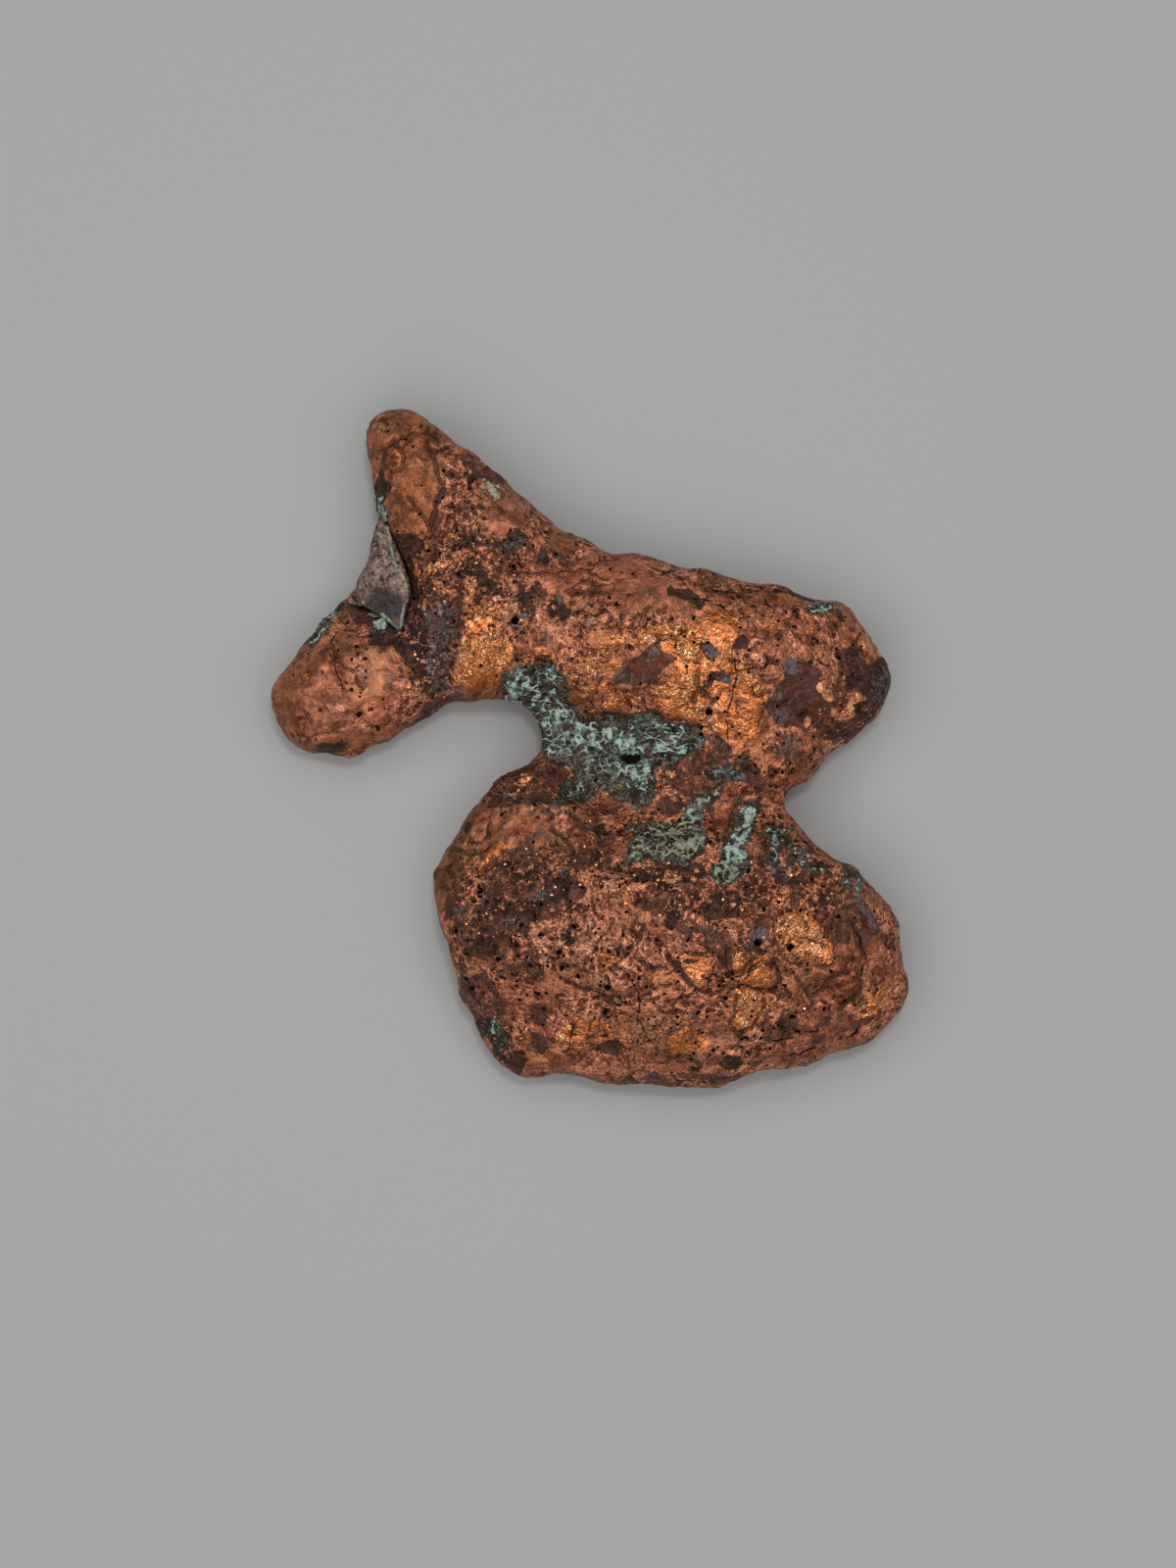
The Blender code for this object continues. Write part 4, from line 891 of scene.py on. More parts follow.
# painted shade: the steep flanks are darkened by up to a third
skin = skin.mix(COPPER_LACE, lace * 0.55).tinted(tone).tinted(1.0 - place.field("flank") * 0.32)

shine = (place.field("bright") + torn * 0.9 + crowned * 0.12).step(0.47, 0.54)
sparks = (finest * 0.9 + fine * 0.8 + crowned * 0.12).step(0.16, 0.20) * coarse
gold = place.colour(DEEP_GOLD).mix(COPPER_GOLD, coarse * 0.9)
# pale grains on the gold: partly the copper's own pale grains, partly painted highlight for its glints
gold = gold.mix(COPPER_PALE_AND_GLINT, (grain_tone + finest * 2.0 + medium).step(0.6, 1.1) * coarse * 0.7)
gold = gold.tinted(
    1.07 + (fine * 1.4 + finest * 1.0 + (grain_tone - 0.5) * 0.6 + (crumb_tone - 0.5) * 0.6
            - grain_dome * 0.6 - hollows * 0.3 + 0.34) * coarse
    + (place.field("bright") - 0.6) * 0.42 + medium * 0.5
)
skin = skin.mix(gold, shine.either(sparks * 0.7))

# painted highlight: the flakes are tinted brighter than the bright copper, standing in for their glints
struck = (place.field("flake") + torn * 0.7).step(0.48, 0.54)
struck_gold_and_glint = place.colour(FLAKE_GOLD).tinted(1.28 + fine * 2.5 + medium * 1.5 - grain_dome * 0.4)
skin = skin.mix(struck_gold_and_glint, struck * 0.7)
plum = (place.field("cuprite") + torn * 1.2).step(0.48, 0.52) * (1.0 - struck)
flecks = (fine * 1.0 + medium * 0.8 + finest * 0.2 + crowned * 0.10).step(-0.14, -0.17)
flecks = flecks * (1.0 - shine * 0.85) * coarse
flecks = flecks.either(hollows * (medium + broad + jumble * 0.12).step(0.02, 0.10) * 0.9)
redder = (broad * 2.0 + medium + crumb_hue * 0.4).step(0.1, 0.6)
plum_colour = place.colour(CUPRITE_PLUM).mix(CUPRITE_RED, redder)
plum_colour = plum_colour.tinted(1.0 + medium * 2.0 + fine * 2.2 + finest * 1.2 + (grain_tone - 0.5) * 0.5)
plum_colour = plum_colour.mix(RUSSET_LACE, lace * 0.8)
skin = skin.mix(plum_colour, plum.either(flecks * 0.85) * 0.93)
black = (place.field("tenorite") + torn).step(0.48, 0.52) * (1.0 - struck)
black_colour = place.colour(TENORITE_BLACK).tinted(1.1 + fine * 3.5 + finest * 2.5 + medium * 1.5)
skin = skin.mix(black_colour.mix(RUSSET_LACE, lace * 0.4), black * 0.95)
dull = black.either(plum * 0.7)

# flakes of copper lie caught in the jumbled dark
flake_place = place.bent(3.0, 0.25)
flake_colour = flake_place.cells(1.0, 1)
flakes = (flake_colour.channel(1) * 0.16 + 0.13 - flake_place.cells(1.0)).step(0.0, 0.05)
flakes = flakes * flake_colour.channel(0).step(0.62, 0.64) * dull * jumble.step(0.3, 0.6)
curls_left = (lace + fine * 1.5 + medium).step(0.90, 1.05) * dull * jumble.step(0.3, 0.7)
skin = skin.mix(COPPER_LACE, flakes.either(curls_left * 0.8))
# the blue-grey film is partly a real tarnish film and partly painted sheen on the dark oxide and its rims
blue = (place.field("film") + ragged * 1.4 + finest * 1.2).step(0.54, 0.64) * 0.5
rims = (0.06 - (place.field("cuprite") + torn - 0.57).size()).step(0.0, 0.05)
rims = rims * (broad + medium).step(0.02, 0.10) * (1.0 - jumble)
skin = skin.mix(place.colour(FILM_AND_SHEEN_BLUE).tinted(1.0 + finest * 2.5 + fine * 2.0), blue.either(rims * 0.45))

stain = (place.field("malachite") + ragged * 1.3).step(0.36, 0.44)
threads = (0.035 - place.bent(1.2, 0.6).speckle(1.0, 2.0).size()).step(0.0, 0.035)
stained = place.colour(MALACHITE_STAIN).mix(STAIN_BROWN, (fine + medium).step(0.04, 0.16))
stained = stained.mix(MALACHITE_HAZE, (medium * 1.4 + fine * 1.2 + finest * 0.6).step(0.02, 0.20) * 0.6)
stained = stained.mix(MALACHITE_THREAD, threads * (0.55 + fine * 2.0 + medium * 1.5))
skin = skin.mix(stained, stain * 0.94)

alleys = (place.field("parting") + ragged * 0.6).step(0.66, 0.84)
outlines = (0.05 - (place.field("bright") + torn * 0.9 - 0.42).size()).step(0.0, 0.04)
outlines = outlines * (broad + medium).step(0.0, 0.08)
skin = skin.mix(ALLEY_BROWN, (alleys * 0.75).either(outlines * 0.7).either(scale_rims * 0.65))
pin_place = place.bent(2.2, 0.2)
pin_colour = pin_place.cells(1.45, 1)
pin_odds = pin_colour.channel(0) + place.field("pitted").step(0.0, 1.2) * 0.75
pins = (pin_colour.channel(1) * 0.16 + 0.14 - pin_place.cells(1.45)).step(0.0, 0.04)
pins = pins * pin_odds.step(0.82, 0.84)
specks = (place.bent(4.0, 0.1).cells(2.2) + grain_tone * 0.12).step(0.20, 0.15)
specks = specks * medium.step(0.02, 0.04) * coarse
holes = (place.field("pit") + fine * 0.9 + finest * 0.7).step(0.48, 0.58)
line_gap = (place.field("crack_side") + fine * 0.35 + finest * 0.15).size()
cracks = (0.07 + medium * 0.25 - line_gap).step(0.0, 0.06) * place.field("crack_near").step(0.15, 0.3)
# painted shade: pits, pinpricks, specks and cracks are painted near-black for the shade inside them, over
# their real relief
hollow = holes.either(cracks * 0.9).either(pins).either(specks * 0.8)
skin = skin.mix(PAINTED_PIT_SHADE, hollow)

metallic = ((0.70 + shine * 0.15 - dull * 0.50) * (1.0 - stain)).either(hollow)
roughness = 0.50 - shine * (grain_tone * 0.22 + 0.03) + dull * 0.02 + stain * 0.3
roughness = roughness + fine * 0.4 + medium * 0.3
height = (
    medium * 0.24 + (fine * 0.20 + finest * 0.05 - grain_dome * 0.06 - crumb_dome * 0.09) * coarse
    + lace * 0.08 - hollows * 0.10 + (crumb_tone - 0.5) * 0.05 + flakes * 0.06
    - holes * 0.12 - pins * 0.10 - specks * 0.05 - cracks * 0.10 - alleys * 0.08 - dull * 0.03
)
bump = place.add("ShaderNodeBump", None, {"Strength": 1.0, "Distance": MM, "Height": height})
feed(shader, Base_Color=skin, Metallic=metallic, Roughness=roughness, Normal=bump)
shader.inputs["Specular IOR Level"].default_value = 0.12
finish(metal, copper_finish)
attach(metal, "root")
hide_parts("copper_nugget")

# ----------------------------------------------------------------------------------------------------------
# The malachite crust: a pale green net of fine crests, grown proud of the stained metal and open in
# between, solid in places and thin, olive or chalky in others. It is a shell made from the metal's own skin,
# cut finer, and its hollows sink out of sight into the metal.
# ----------------------------------------------------------------------------------------------------------

# the crust is cut where its field is weaker than the first, and its heights over the metal are in mm
CUT_FROM = 0.32
CRUST_SINK = -0.30
CRUST_FLOOR = 0.02
CRUST_CREST = 0.46
LOWEST_RISE = -0.16
CRUST_WALL = 0.14
SOLID_CRUST = [
    (4.7, -2.2, 1.4, 0.75, 1.0, 5), (12.6, -11.2, 1.2, 1.0, 0.35), (14.7, -5.8, 1.0, 1.3, 1.0, -20),
    (13.9, -7.8, 1.3, 1.3, 1.0, -20), (13.2, -9.4, 1.3, 1.1), (-6.8, 5.4, 1.2, 0.8, 0.45, 20),
    (9.3, -8.6, 1.0, 0.8, 0.45), (-2.0, 2.0, 2.2, 1.2, 0.45, -35), (2.4, 0.6, 2.6, 1.0, 0.5, -8),
    (9.6, -5.4, 0.8, 1.1, 0.7, -30), (-19.3, 11.3, 0.7, 0.5),
]
THIN_CRUST = [
    (-0.1, 2.4, 1.3, 0.8, 0.9), (1.8, 2.1, 1.2, 0.6, 0.8), (3.4, 0.4, 1.4, 1.4, 0.9),
    (7.4, 0.9, 1.0, 1.0, 0.7), (3.0, 1.8, 1.2, 0.8, 0.9), (-0.9, -0.9, 0.9, 1.4, 0.8),
    (-1.0, -3.3, 2.0, 1.8, 0.75), (4.4, -4.1, 2.2, 1.0, 0.8), (2.4, -3.4, 1.0, 1.6, 0.7),
]
OLIVE_CRUST = [
    (7.2, -8.4, 3.4, 2.0, 1.0, 10), (12.6, -11.2, 1.4, 1.2, 0.6), (1.2, -3.0, 2.0, 1.2, 0.5, -30),
]
CHALK = [(-8.9, 23.4, 1.4, 1.0, 1.0, -35), (11.4, -2.2, 1.2, 0.4, 0.7, 5), (-18.9, 21.4, 0.5, 1.4, 0.5, 10)]


def read(mesh, name):
    """A painted field's values."""
    values = np.empty(len(mesh.vertices), np.float32)
    mesh.attributes[name].data.foreach_get("value", values)
    return values


def without(mesh, name, least):
    """A bmesh of the mesh, less the points where the named field is below this."""
    bm = bmesh.new()
    bm.from_mesh(mesh)
    layer = bm.verts.layers.float[name]
    bmesh.ops.delete(bm, geom=[vert for vert in bm.verts if vert[layer] < least], context="VERTS")
    return bm


chalk = marks(CHALK)
paint(metal.data, {
    "chalk": chalk, "crusted": np.maximum(malachite, chalk), "solid": marks(SOLID_CRUST),
    "thin_crust": marks(THIN_CRUST), "olive_crust": marks(OLIVE_CRUST),
})
crust = new_object("malachite_cut", without(metal.data, "crusted", CUT_FROM))
finer = crust.modifiers.new("finer", "SUBSURF")
finer.levels = finer.render_levels = 2
settled(crust)
spots, outward = points_of(crust.data)
solid = np.maximum(read(crust.data, "solid"), read(crust.data, "chalk") * 0.7)
solid = soft_step(solid + grain(spots, 0.7, 2, 33.0) * 0.4, 0.3, 0.7)
stretched_spots = spots * (0.5, 1.6, 1.0)
streaky = soft_step(spots[:, 0], 4.0, 6.5) * soft_step(spots[:, 1], -3.5, -2.0)
net = ridges(stretched_spots, 1.2, 31.0, 3.2) * (0.8 + 0.2 * streaky)
net = np.maximum(net, ridges(spots, 1.0, 32.0, 3.0) * (1.0 - streaky))
net = np.maximum(net, ridges(stretched_spots, 0.9, 39.0, 3.2) * streaky)
thin = soft_step(grain(spots, 2.2, 3, 37.0), -0.05, 0.45)
thin = np.maximum(thin, soft_step(read(crust.data, "thin_crust"), 0.2, 0.7)) * (1.0 - solid)
body = soft_step(read(crust.data, "crusted") + grain(spots, 1.2, 3, 34.0) * 0.35 - 0.45 * thin, 0.42, 0.60)
net = np.maximum(net, solid * (0.93 + 1.1 * grain(spots, 0.7, 2, 35.0)))
rise = CRUST_SINK + body * (CRUST_FLOOR + CRUST_CREST * net) + body * grain(spots, 0.28, 2, 36.0) * 0.07
move_points(crust.data, spots + outward * rise[:, None])
paint(crust.data, {"net": net, "rise": rise})
cut_mesh = crust.data
bpy.data.objects.remove(crust)
crust = new_object("malachite_crust", without(cut_mesh, "rise", LOWEST_RISE))
wall = crust.modifiers.new("wall", "SOLIDIFY")
wall.thickness = CRUST_WALL * MM
wall.offset = -1.0
settled(crust)
crust.data.shade_smooth()

MALACHITE_PALE = (0.46, 0.61, 0.52)
MALACHITE_GREEN = (0.13, 0.183, 0.155)
MALACHITE_DEEP = (0.024, 0.032, 0.025)
OLIVE_PALE = (0.31, 0.31, 0.18)
CHALK_GREY = (0.31, 0.29, 0.24)
CHALK_WHITE = (0.46, 0.41, 0.33)

crust_finish, shader, place = new_finish("malachite_finish")
medium = place.speckle(0.8, 3.0, 0.65)
fine = place.speckle(2.4, 3.0, 0.7)
crest = place.field("net") + fine * 1.0 + medium * 1.2
green = place.colour(MALACHITE_DEEP).mix(MALACHITE_GREEN, crest.step(0.38, 0.70))
green = green.mix(MALACHITE_PALE, crest.step(0.69, 0.97))
green = green.mix(CHALK_GREY, place.speckle(0.35, 3.0).step(0.0, 0.12) * 0.4)
green = green.mix(OLIVE_PALE, (place.field("olive_crust") + medium * 1.5 + fine).step(0.35, 0.75) * 0.75)
chalky = place.colour(CHALK_GREY).mix(CHALK_WHITE, crest.step(0.6, 0.9))
green = green.mix(chalky, (place.field("chalk") + medium).step(0.4, 0.6))
green = green.mix(CHALK_GREY, (fine + medium).step(0.10, 0.2) * 0.5)
green = green.tinted(1.0 + fine * 1.9 + medium * 1.2)
bump = place.add("ShaderNodeBump", None, {"Distance": MM, "Height": fine * 0.10})
feed(shader, Base_Color=green, Roughness=0.78 + fine * 0.5, Normal=bump)
finish(crust, crust_finish)
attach(crust, "root")

# ----------------------------------------------------------------------------------------------------------
# Grains: blunt little crystals of copper that catch the light, on the bright metal, on its plates and in
# the jumbled oxide, and crumbs of malachite on the crust. One tree scatters all four pieces, each by a field
# painted on the metal.
# ----------------------------------------------------------------------------------------------------------


def new_tree(name, inputs):
    """A Geometry Nodes tree with these named inputs, and a wire and a look-up to build on."""
    tree = bpy.data.node_groups.new(name, "GeometryNodeTree")
    for label, kind in inputs.items():
        tree.interface.new_socket(label, in_out="INPUT", socket_type=kind)
    tree.interface.new_socket("Mesh", in_out="OUTPUT", socket_type="NodeSocketGeometry")
    entry = tree.nodes.new("NodeGroupInput")
    return Wire(tree), {label: Wire(tree, entry.outputs[label]) for label in inputs}


def end_tree(wire, shape, material):
    """Close the tree: realize the instances, set the material, and hand the mesh out."""
    shape = wire.add("GeometryNodeRealizeInstances", None, {"Geometry": shape})
    shape = wire.add("GeometryNodeSetMaterial", None, {"Geometry": shape, "Material": material})
    wire.tree.links.new(shape.socket, wire.tree.nodes.new("NodeGroupOutput").inputs["Mesh"])
    return wire.tree


def grown(obj, tree, **inputs):
    """The object remade by a tree, with the tree's inputs set by the sockets' identifiers."""
    modifier = obj.modifiers.new("grow", "NODES")
    modifier.node_group = tree
    for socket in tree.interface.items_tree:
        if socket.in_out == "INPUT" and socket.name.replace(" ", "_") in inputs:
            modifier[socket.identifier] = inputs[socket.name.replace(" ", "_")]
    return settled(obj)


wire, given = new_tree("scattered_grains", {
    "Mesh": "NodeSocketGeometry", "Field": "NodeSocketString", "From": "NodeSocketFloat",
    "Per Square Metre": "NodeSocketFloat", "Smallest": "NodeSocketFloat", "Largest": "NodeSocketFloat",
    "Flatness": "NodeSocketFloat", "Seed": "NodeSocketInt", "Material": "NodeSocketMaterial",
})
field = wire.add("GeometryNodeInputNamedAttribute", {"data_type": "FLOAT"}, {"Name": given["Field"]})
crowd = wire.add("ShaderNodeMapRange", None, {
    "Value": field, "From Min": given["From"], "From Max": given["From"] + 0.3,
})
scatter = wire.add("GeometryNodeDistributePointsOnFaces", None, {
    "Mesh": given["Mesh"], "Density": crowd * given["Per Square Metre"], "Seed": given["Seed"],
})
facing = Wire(wire.tree, scatter.socket.node.outputs["Rotation"])
size = wire.add("FunctionNodeRandomValue", {"data_type": "FLOAT"}, {
    2: given["Smallest"], 3: given["Largest"], "Seed": given["Seed"],
}, out=1)
spin = wire.add("FunctionNodeRandomValue", {"data_type": "FLOAT_VECTOR"}, {
    0: (-0.5, -0.5, -3.1), 1: (0.5, 0.5, 3.1), "Seed": given["Seed"],
})
spin = wire.add("FunctionNodeEulerToRotation", None, {0: spin})
facing = wire.add("FunctionNodeRotateRotation", {"rotation_space": "LOCAL"}, {0: facing, 1: spin})
shape = wire.add("GeometryNodeMeshIcoSphere", None, {"Radius": 1.0, "Subdivisions": 1})
shape = wire.add("GeometryNodeInstanceOnPoints", None, {
    "Points": scatter, "Instance": shape, "Rotation": facing,
    "Scale": wire.add("ShaderNodeCombineXYZ", None, {0: size, 1: size, 2: size * given["Flatness"]}),
})
tone = wire.add("FunctionNodeRandomValue", {"data_type": "FLOAT"}, {"Seed": given["Seed"]}, out=1)
shape = wire.add("GeometryNodeStoreNamedAttribute", {"data_type": "FLOAT", "domain": "INSTANCE"}, {
    "Geometry": shape, "Name": "grain_tone", "Value": tone,
})
grain_tree = end_tree(wire, shape, given["Material"])


def sprinkle(name, material, **inputs):
    """Grains scattered over the metal, as one piece."""
    obj = bpy.data.objects.new(name, metal.data.copy())
    bpy.context.scene.collection.objects.link(obj)
    grown(obj, grain_tree, Material=material, **inputs)
    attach(obj, "root")
    return obj


CRYSTAL_GOLD = (1.00, 0.37, 0.14)
CRYSTAL_BROWN = (0.60, 0.19, 0.075)
CRYSTAL_PALE = (1.0, 0.52, 0.27)
COPPER_GRAINS = {
    "copper_crystals": {
        "Field": "bright", "From": 0.66, "Per_Square_Metre": 0.25e6, "Smallest": 0.08 * MM,
        "Largest": 0.22 * MM, "Flatness": 0.6, "Seed": 7,
    },
    "copper_flakes": {
        "Field": "flake", "From": 0.56, "Per_Square_Metre": 6.0e6, "Smallest": 0.08 * MM,
        "Largest": 0.24 * MM, "Flatness": 0.5, "Seed": 5,
    },
    "copper_glints": {
        "Field": "jumbled", "From": 0.45, "Per_Square_Metre": 0.9e6, "Smallest": 0.05 * MM,
        "Largest": 0.19 * MM, "Flatness": 0.5, "Seed": 23,
    },
}

crystal_finish, shader, place = new_finish("copper_crystal_finish")
tone = place.field("grain_tone")
crystal = place.colour(CRYSTAL_GOLD).mix(CRYSTAL_BROWN, tone.step(0.25, 0.8))
crystal = crystal.mix(CRYSTAL_PALE, tone.step(0.84, 0.90)).tinted(1.0 + place.speckle(5.0) * 1.2)
feed(shader, Base_Color=crystal, Roughness=0.44 - tone * 0.20)
shader.inputs["Metallic"].default_value = 0.85
for name, inputs in COPPER_GRAINS.items():
    grains = sprinkle(name, crystal_finish, **inputs)
sprinkle(
    "malachite_crumbs", crust_finish, Field="crusted", From=0.5, Per_Square_Metre=3.0e6,
    Smallest=0.06 * MM, Largest=0.17 * MM, Flatness=0.7, Seed=11,
)

# ----------------------------------------------------------------------------------------------------------
# The chip of host rock wedged in the fork: grey-pink and granular, with dark specks and blue-black smears.
# It is skinned and roughened like the metal, and swells to fill its gap.
# ----------------------------------------------------------------------------------------------------------

ROCK_VOXEL = 0.16
ROCK_RELAX = 10
ROCK_SWELL = 0.30
CHIP_SWELLS = [(-22.6, 14.2, 2.8, -1.0), (-20.8, 17.6, 3.2, -0.45), (-19.8, 20.6, 2.4, -0.4)]
CHIP_FALL = 2.9
rock = skinned_copy("matrix_rock", "matrix_rock_chip", ROCK_VOXEL, ROCK_RELAX)
spots, outward = points_of(rock.data)
rock_relief = ROCK_SWELL + grain(spots, 1.3, 3, 21.0) * 0.12 + grain(spots, 0.4, 2, 22.0) * 0.06
spots = spots + outward * rock_relief[:, None]
spots = swelled(spots, outward, CHIP_SWELLS)
# its lower left leans down
lean = 16.0 - spots[:, 1] - 0.7 * (spots[:, 0] + 19.0)
spots[:, 2] -= CHIP_FALL * soft_step(lean, 0.0, 4.0) * soft_step(spots[:, 2], 4.0, 8.0)
move_points(rock.data, spots)
rock.data.shade_smooth()

ROCK_GREY = (0.24, 0.175, 0.145)
ROCK_PINK = (0.34, 0.21, 0.155)
ROCK_SPECK = (0.045, 0.035, 0.035)
ROCK_CREAM = (0.46, 0.41, 0.34)
SMEAR_BLACK = (0.050, 0.049, 0.054)
ROCK_SMEARS = [(-18.6, 13.2, 1.7, 1.3, 0.8, -30), (-20.6, 16.4, 0.5, 0.3, 0.8)]

paint(rock.data, {"smear": blots(jostle(spots, 0.9, 0.4), ROCK_SMEARS)})
rock_finish, shader, place = new_finish("host_rock_finish")
medium = place.speckle(1.1, 4.0, 0.65)
fine = place.speckle(3.6, 3.0, 0.7)
rock_grain = place.bent(3.0, 0.2).cells(3.0, 1).channel(0)
stone = place.colour(ROCK_GREY).mix(ROCK_PINK, (medium + fine + rock_grain * 0.3).step(0.0, 0.35))
stone = stone.mix(ROCK_CREAM, (fine * 0.8 + medium * 0.5).step(0.11, 0.18) * 0.6)
stone = stone.mix(ROCK_SPECK, (medium * 0.9 + fine + place.field("smear") * 0.10).step(-0.05, -0.12) * 0.85)
stone = stone.mix(SMEAR_BLACK, (place.field("smear") + medium * 1.4 + fine).step(0.45, 0.65) * 0.85)
stone = stone.tinted(0.92 + medium * 1.4 + fine * 2.6 + (rock_grain - 0.5) * 0.6)
bump = place.add("ShaderNodeBump", None, {"Distance": MM, "Height": medium * 0.12 + fine * 0.14})
feed(shader, Base_Color=stone, Roughness=0.85 + fine * 0.2, Normal=bump)
finish(rock, rock_finish)
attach(rock, "root")
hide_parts("matrix_rock")

# ----------------------------------------------------------------------------------------------------------
# Vein crusts: thin cords of cream and green mineral that grew along the chip's joints with the metal. Each
# follows a path seen from above and lies on what is under it.
# ----------------------------------------------------------------------------------------------------------

VEINS = [
    [(-19.0, 21.8), (-18.7, 20.8), (-18.3, 19.8), (-18.0, 18.3), (-17.6, 16.9), (-16.8, 15.5),
     (-16.5, 14.3), (-16.8, 12.9), (-17.1, 11.0)],
    [(-18.9, 12.4), (-18.2, 11.7), (-17.5, 11.1), (-17.1, 11.0)],
    [(-22.2, 13.7), (-21.4, 13.4), (-20.6, 13.5)], [(-20.2, 12.4), (-19.4, 12.2), (-18.9, 12.4)],
    [(-18.9, 22.8), (-19.1, 21.9), (-18.7, 21.0)],
]
VEIN_RADIUS = 0.20
VEIN_STEP = 0.18
VEIN_WANDER = 0.35
EDGE_HEIGHT = 7.0
VEIN_CREAM = (0.42, 0.40, 0.31)
VEIN_GREEN = (0.20, 0.31, 0.24)
VEIN_DARK = (0.06, 0.055, 0.045)
ground = [BVHTree.FromPolygons([v.co for v in obj.data.vertices], [p.vertices for p in obj.data.polygons])
          for obj in (metal, rock)]


def lying_at(x, y):
    """The top of the metal or rock under this place, in metres, or their nearest point when it is clear."""
    above, down = Vector((x * MM, y * MM, 0.05)), Vector((0.0, 0.0, -1.0))
    hits = [tree.ray_cast(above, down)[0] for tree in ground]
    hits = [hit for hit in hits if hit]
    if hits:
        return max(hits, key=lambda hit: hit.z)
    found = [tree.find_nearest(Vector((x, y, EDGE_HEIGHT)) * MM) for tree in ground]
    return min(found, key=lambda near: near[3])[0]


bm = bmesh.new()
for run in VEINS:
    last = None
    for x, y in run:
        vert = bm.verts.new(lying_at(x, y))
        if last:
            bm.edges.new((last, vert))
        last = vert
veins = new_object("vein_crusts", bm)

wire, given = new_tree("vein_cords", {
    "Mesh": "NodeSocketGeometry", "Radius": "NodeSocketFloat", "Step": "NodeSocketFloat",
    "Wander": "NodeSocketFloat", "Material": "NodeSocketMaterial",
})
path = wire.add("GeometryNodeMeshToCurve", None, {"Mesh": given["Mesh"]})
path = wire.add("GeometryNodeResampleCurve", {"mode": "LENGTH"}, {"Curve": path, "Length": given["Step"]})
position = wire.add("GeometryNodeInputPosition")


def wobble(scale, reach):
    """Noise on the position, as an offset of up to this reach on each axis."""
    push = wire.add("ShaderNodeTexNoise", None, {"Vector": position, "Scale": scale, "Detail": 1.0}, out=1)
    push = wire.add("ShaderNodeVectorMath", {"operation": "SUBTRACT"}, {0: push, 1: (0.5, 0.5, 0.5)})
    return wire.add("ShaderNodeVectorMath", {"operation": "SCALE"}, {0: push, "Scale": reach})


path = wire.add("GeometryNodeSetPosition", None, {
    "Geometry": path, "Offset": wobble(900.0, given["Wander"]),
})
thickness = wire.add("ShaderNodeTexNoise", None, {"Vector": position, "Scale": 1400.0, "Detail": 2.0})
thickness = wire.add("ShaderNodeMapRange", None, {"Value": thickness, 1: 0.35, 2: 0.65, 3: 0.35, 4: 1.3})
ring = wire.add("GeometryNodeCurvePrimitiveCircle", {"mode": "RADIUS"}, {
    "Resolution": 7, "Radius": given["Radius"],
})
cord = wire.add("GeometryNodeCurveToMesh", None, {
    "Curve": path, "Profile Curve": ring, "Fill Caps": True, "Scale": thickness,
})
cord = wire.add("GeometryNodeSetPosition", None, {
    "Geometry": cord, "Offset": wobble(3500.0, given["Radius"]),
})
vein_tree = end_tree(wire, cord, given["Material"])

vein_finish, shader, place = new_finish("vein_finish")
fine = place.speckle(3.0, 3.0, 0.7)
cream = place.colour(VEIN_CREAM).mix(VEIN_GREEN, place.speckle(0.7).step(-0.06, 0.08))
cream = cream.mix(VEIN_DARK, fine.step(-0.04, -0.12) * 0.8).tinted(1.0 + fine * 1.5)
feed(shader, Base_Color=cream, Roughness=0.75 + fine * 0.3)
grown(
    veins, vein_tree, Radius=VEIN_RADIUS * MM, Step=VEIN_STEP * MM, Wander=VEIN_WANDER * MM,
    Material=vein_finish,
)
veins.data.shade_smooth()
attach(veins, "root")

# ----------------------------------------------------------------------------------------------------------
# The table, the lights and the camera, which looks straight down. A broad panel overhead lights the crowns
# and leaves the flanks dim, and a small lamp above the horn strikes the glints.
# ----------------------------------------------------------------------------------------------------------

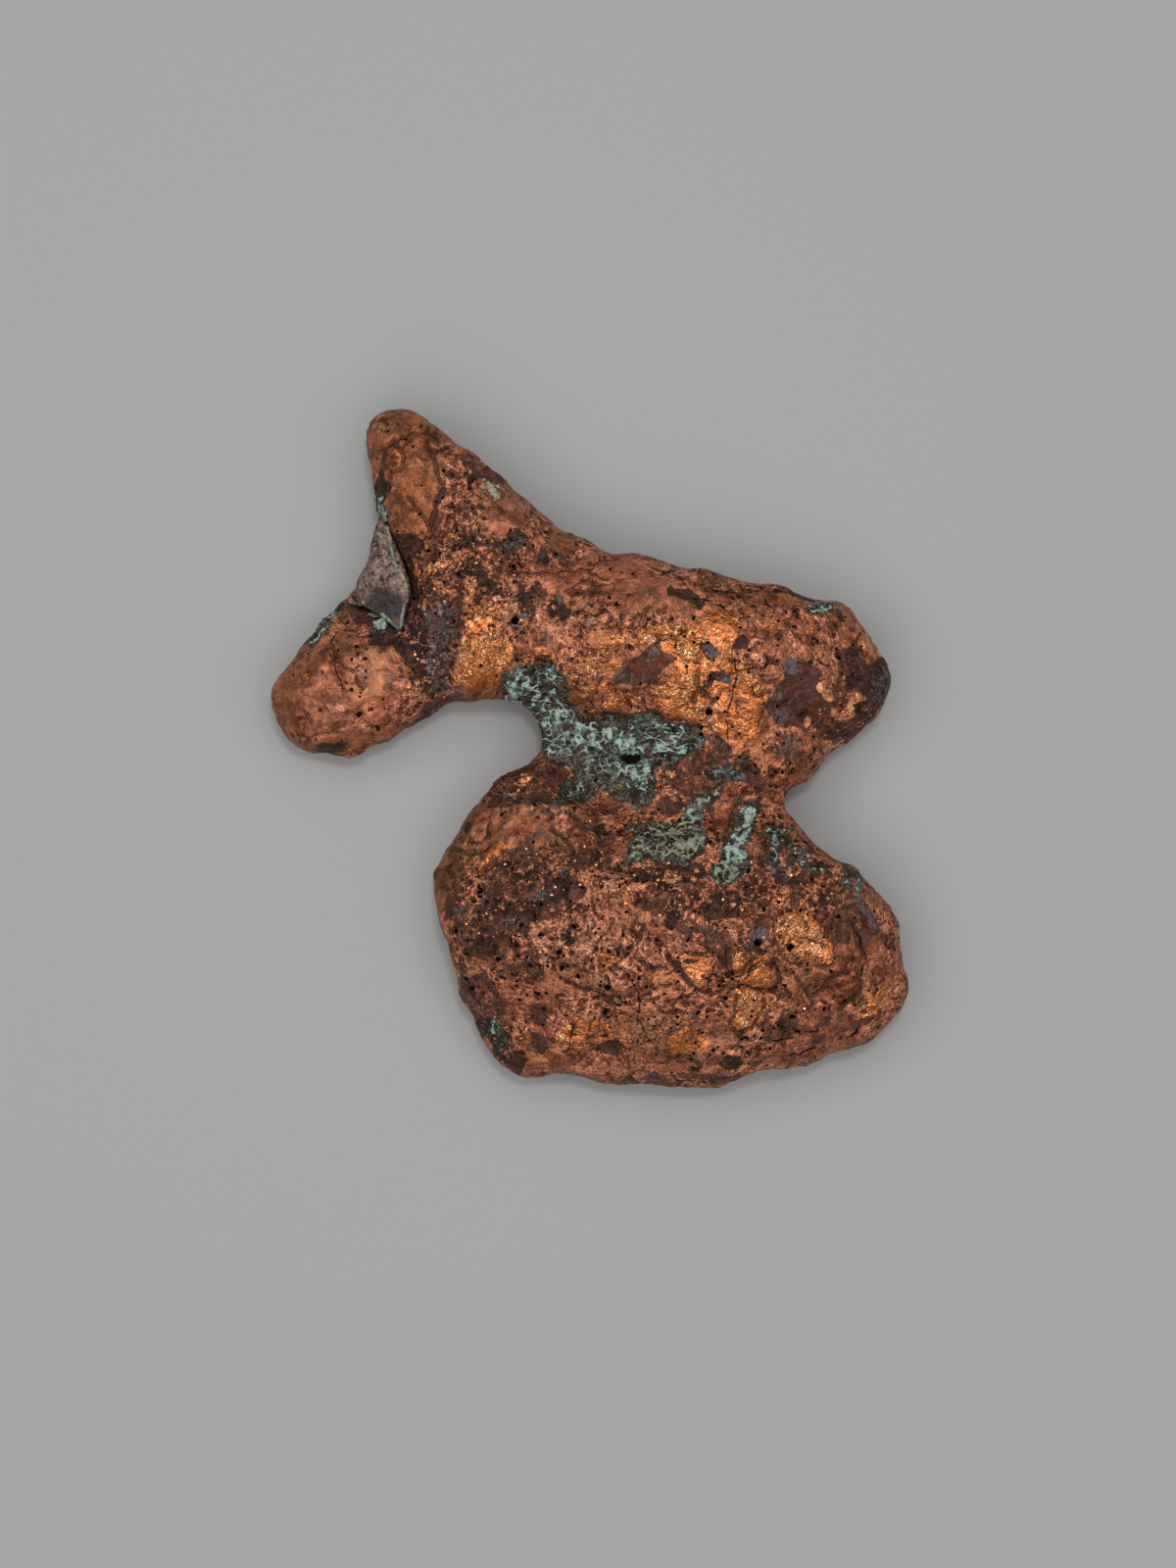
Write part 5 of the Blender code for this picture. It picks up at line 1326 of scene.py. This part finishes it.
TABLE_GREY = (0.54, 0.548, 0.543)
PICTURE_HEIGHT = 0.144
PICTURE_MIDDLE = (-0.00005, -0.0032)
MID_HEIGHT = 0.0065
CAMERA_DISTANCE = 0.42
PANEL_PLACE = (-0.06, -0.04, 0.75)
PANEL_SIZE = 1.1
PANEL_WATTS = 4.8
GLINT_PLACE = (0.02, 0.08, 0.58)
GLINT_SIZE = 0.05
GLINT_WATTS = 0.5
ROOM_LIGHT = 0.06

bm = bmesh.new()
bmesh.ops.create_grid(bm, x_segments=1, y_segments=1, size=1.5)
table = new_object("table", bm)
table_finish, shader, place = new_finish("table_finish")
shader.inputs["Base Color"].default_value = (*TABLE_GREY, 1.0)
shader.inputs["Roughness"].default_value = 0.9
shader.inputs["Specular IOR Level"].default_value = 0.1
finish(table, table_finish)


def hang_lamp(name, place, size, watts):
    """A square lamp at the place, aimed at the nugget."""
    lamp = bpy.data.lights.new(name, "AREA")
    lamp.shape = "SQUARE"
    lamp.size = size
    lamp.energy = watts
    obj = bpy.data.objects.new(name, lamp)
    obj.location = place
    obj.rotation_euler = (Vector((0.0, 0.0, 0.0)) - Vector(place)).to_track_quat("-Z", "Y").to_euler()
    bpy.context.scene.collection.objects.link(obj)


hang_lamp("overhead_panel", PANEL_PLACE, PANEL_SIZE, PANEL_WATTS)
hang_lamp("glint_lamp", GLINT_PLACE, GLINT_SIZE, GLINT_WATTS)

world = bpy.data.worlds.new("room")
world.use_nodes = True
world.node_tree.nodes["Background"].inputs["Color"].default_value = (1.0, 1.0, 1.0, 1.0)
world.node_tree.nodes["Background"].inputs["Strength"].default_value = ROOM_LIGHT
bpy.context.scene.world = world
bpy.context.scene.view_settings.view_transform = "Standard"

camera = bpy.data.cameras.new("camera")
camera.sensor_fit = "VERTICAL"
camera.sensor_height = 36.0
camera.lens = camera.sensor_height * CAMERA_DISTANCE / PICTURE_HEIGHT
camera_object = bpy.data.objects.new("camera", camera)
camera_object.location = (*PICTURE_MIDDLE, MID_HEIGHT + CAMERA_DISTANCE)
bpy.context.scene.collection.objects.link(camera_object)
bpy.context.scene.camera = camera_object
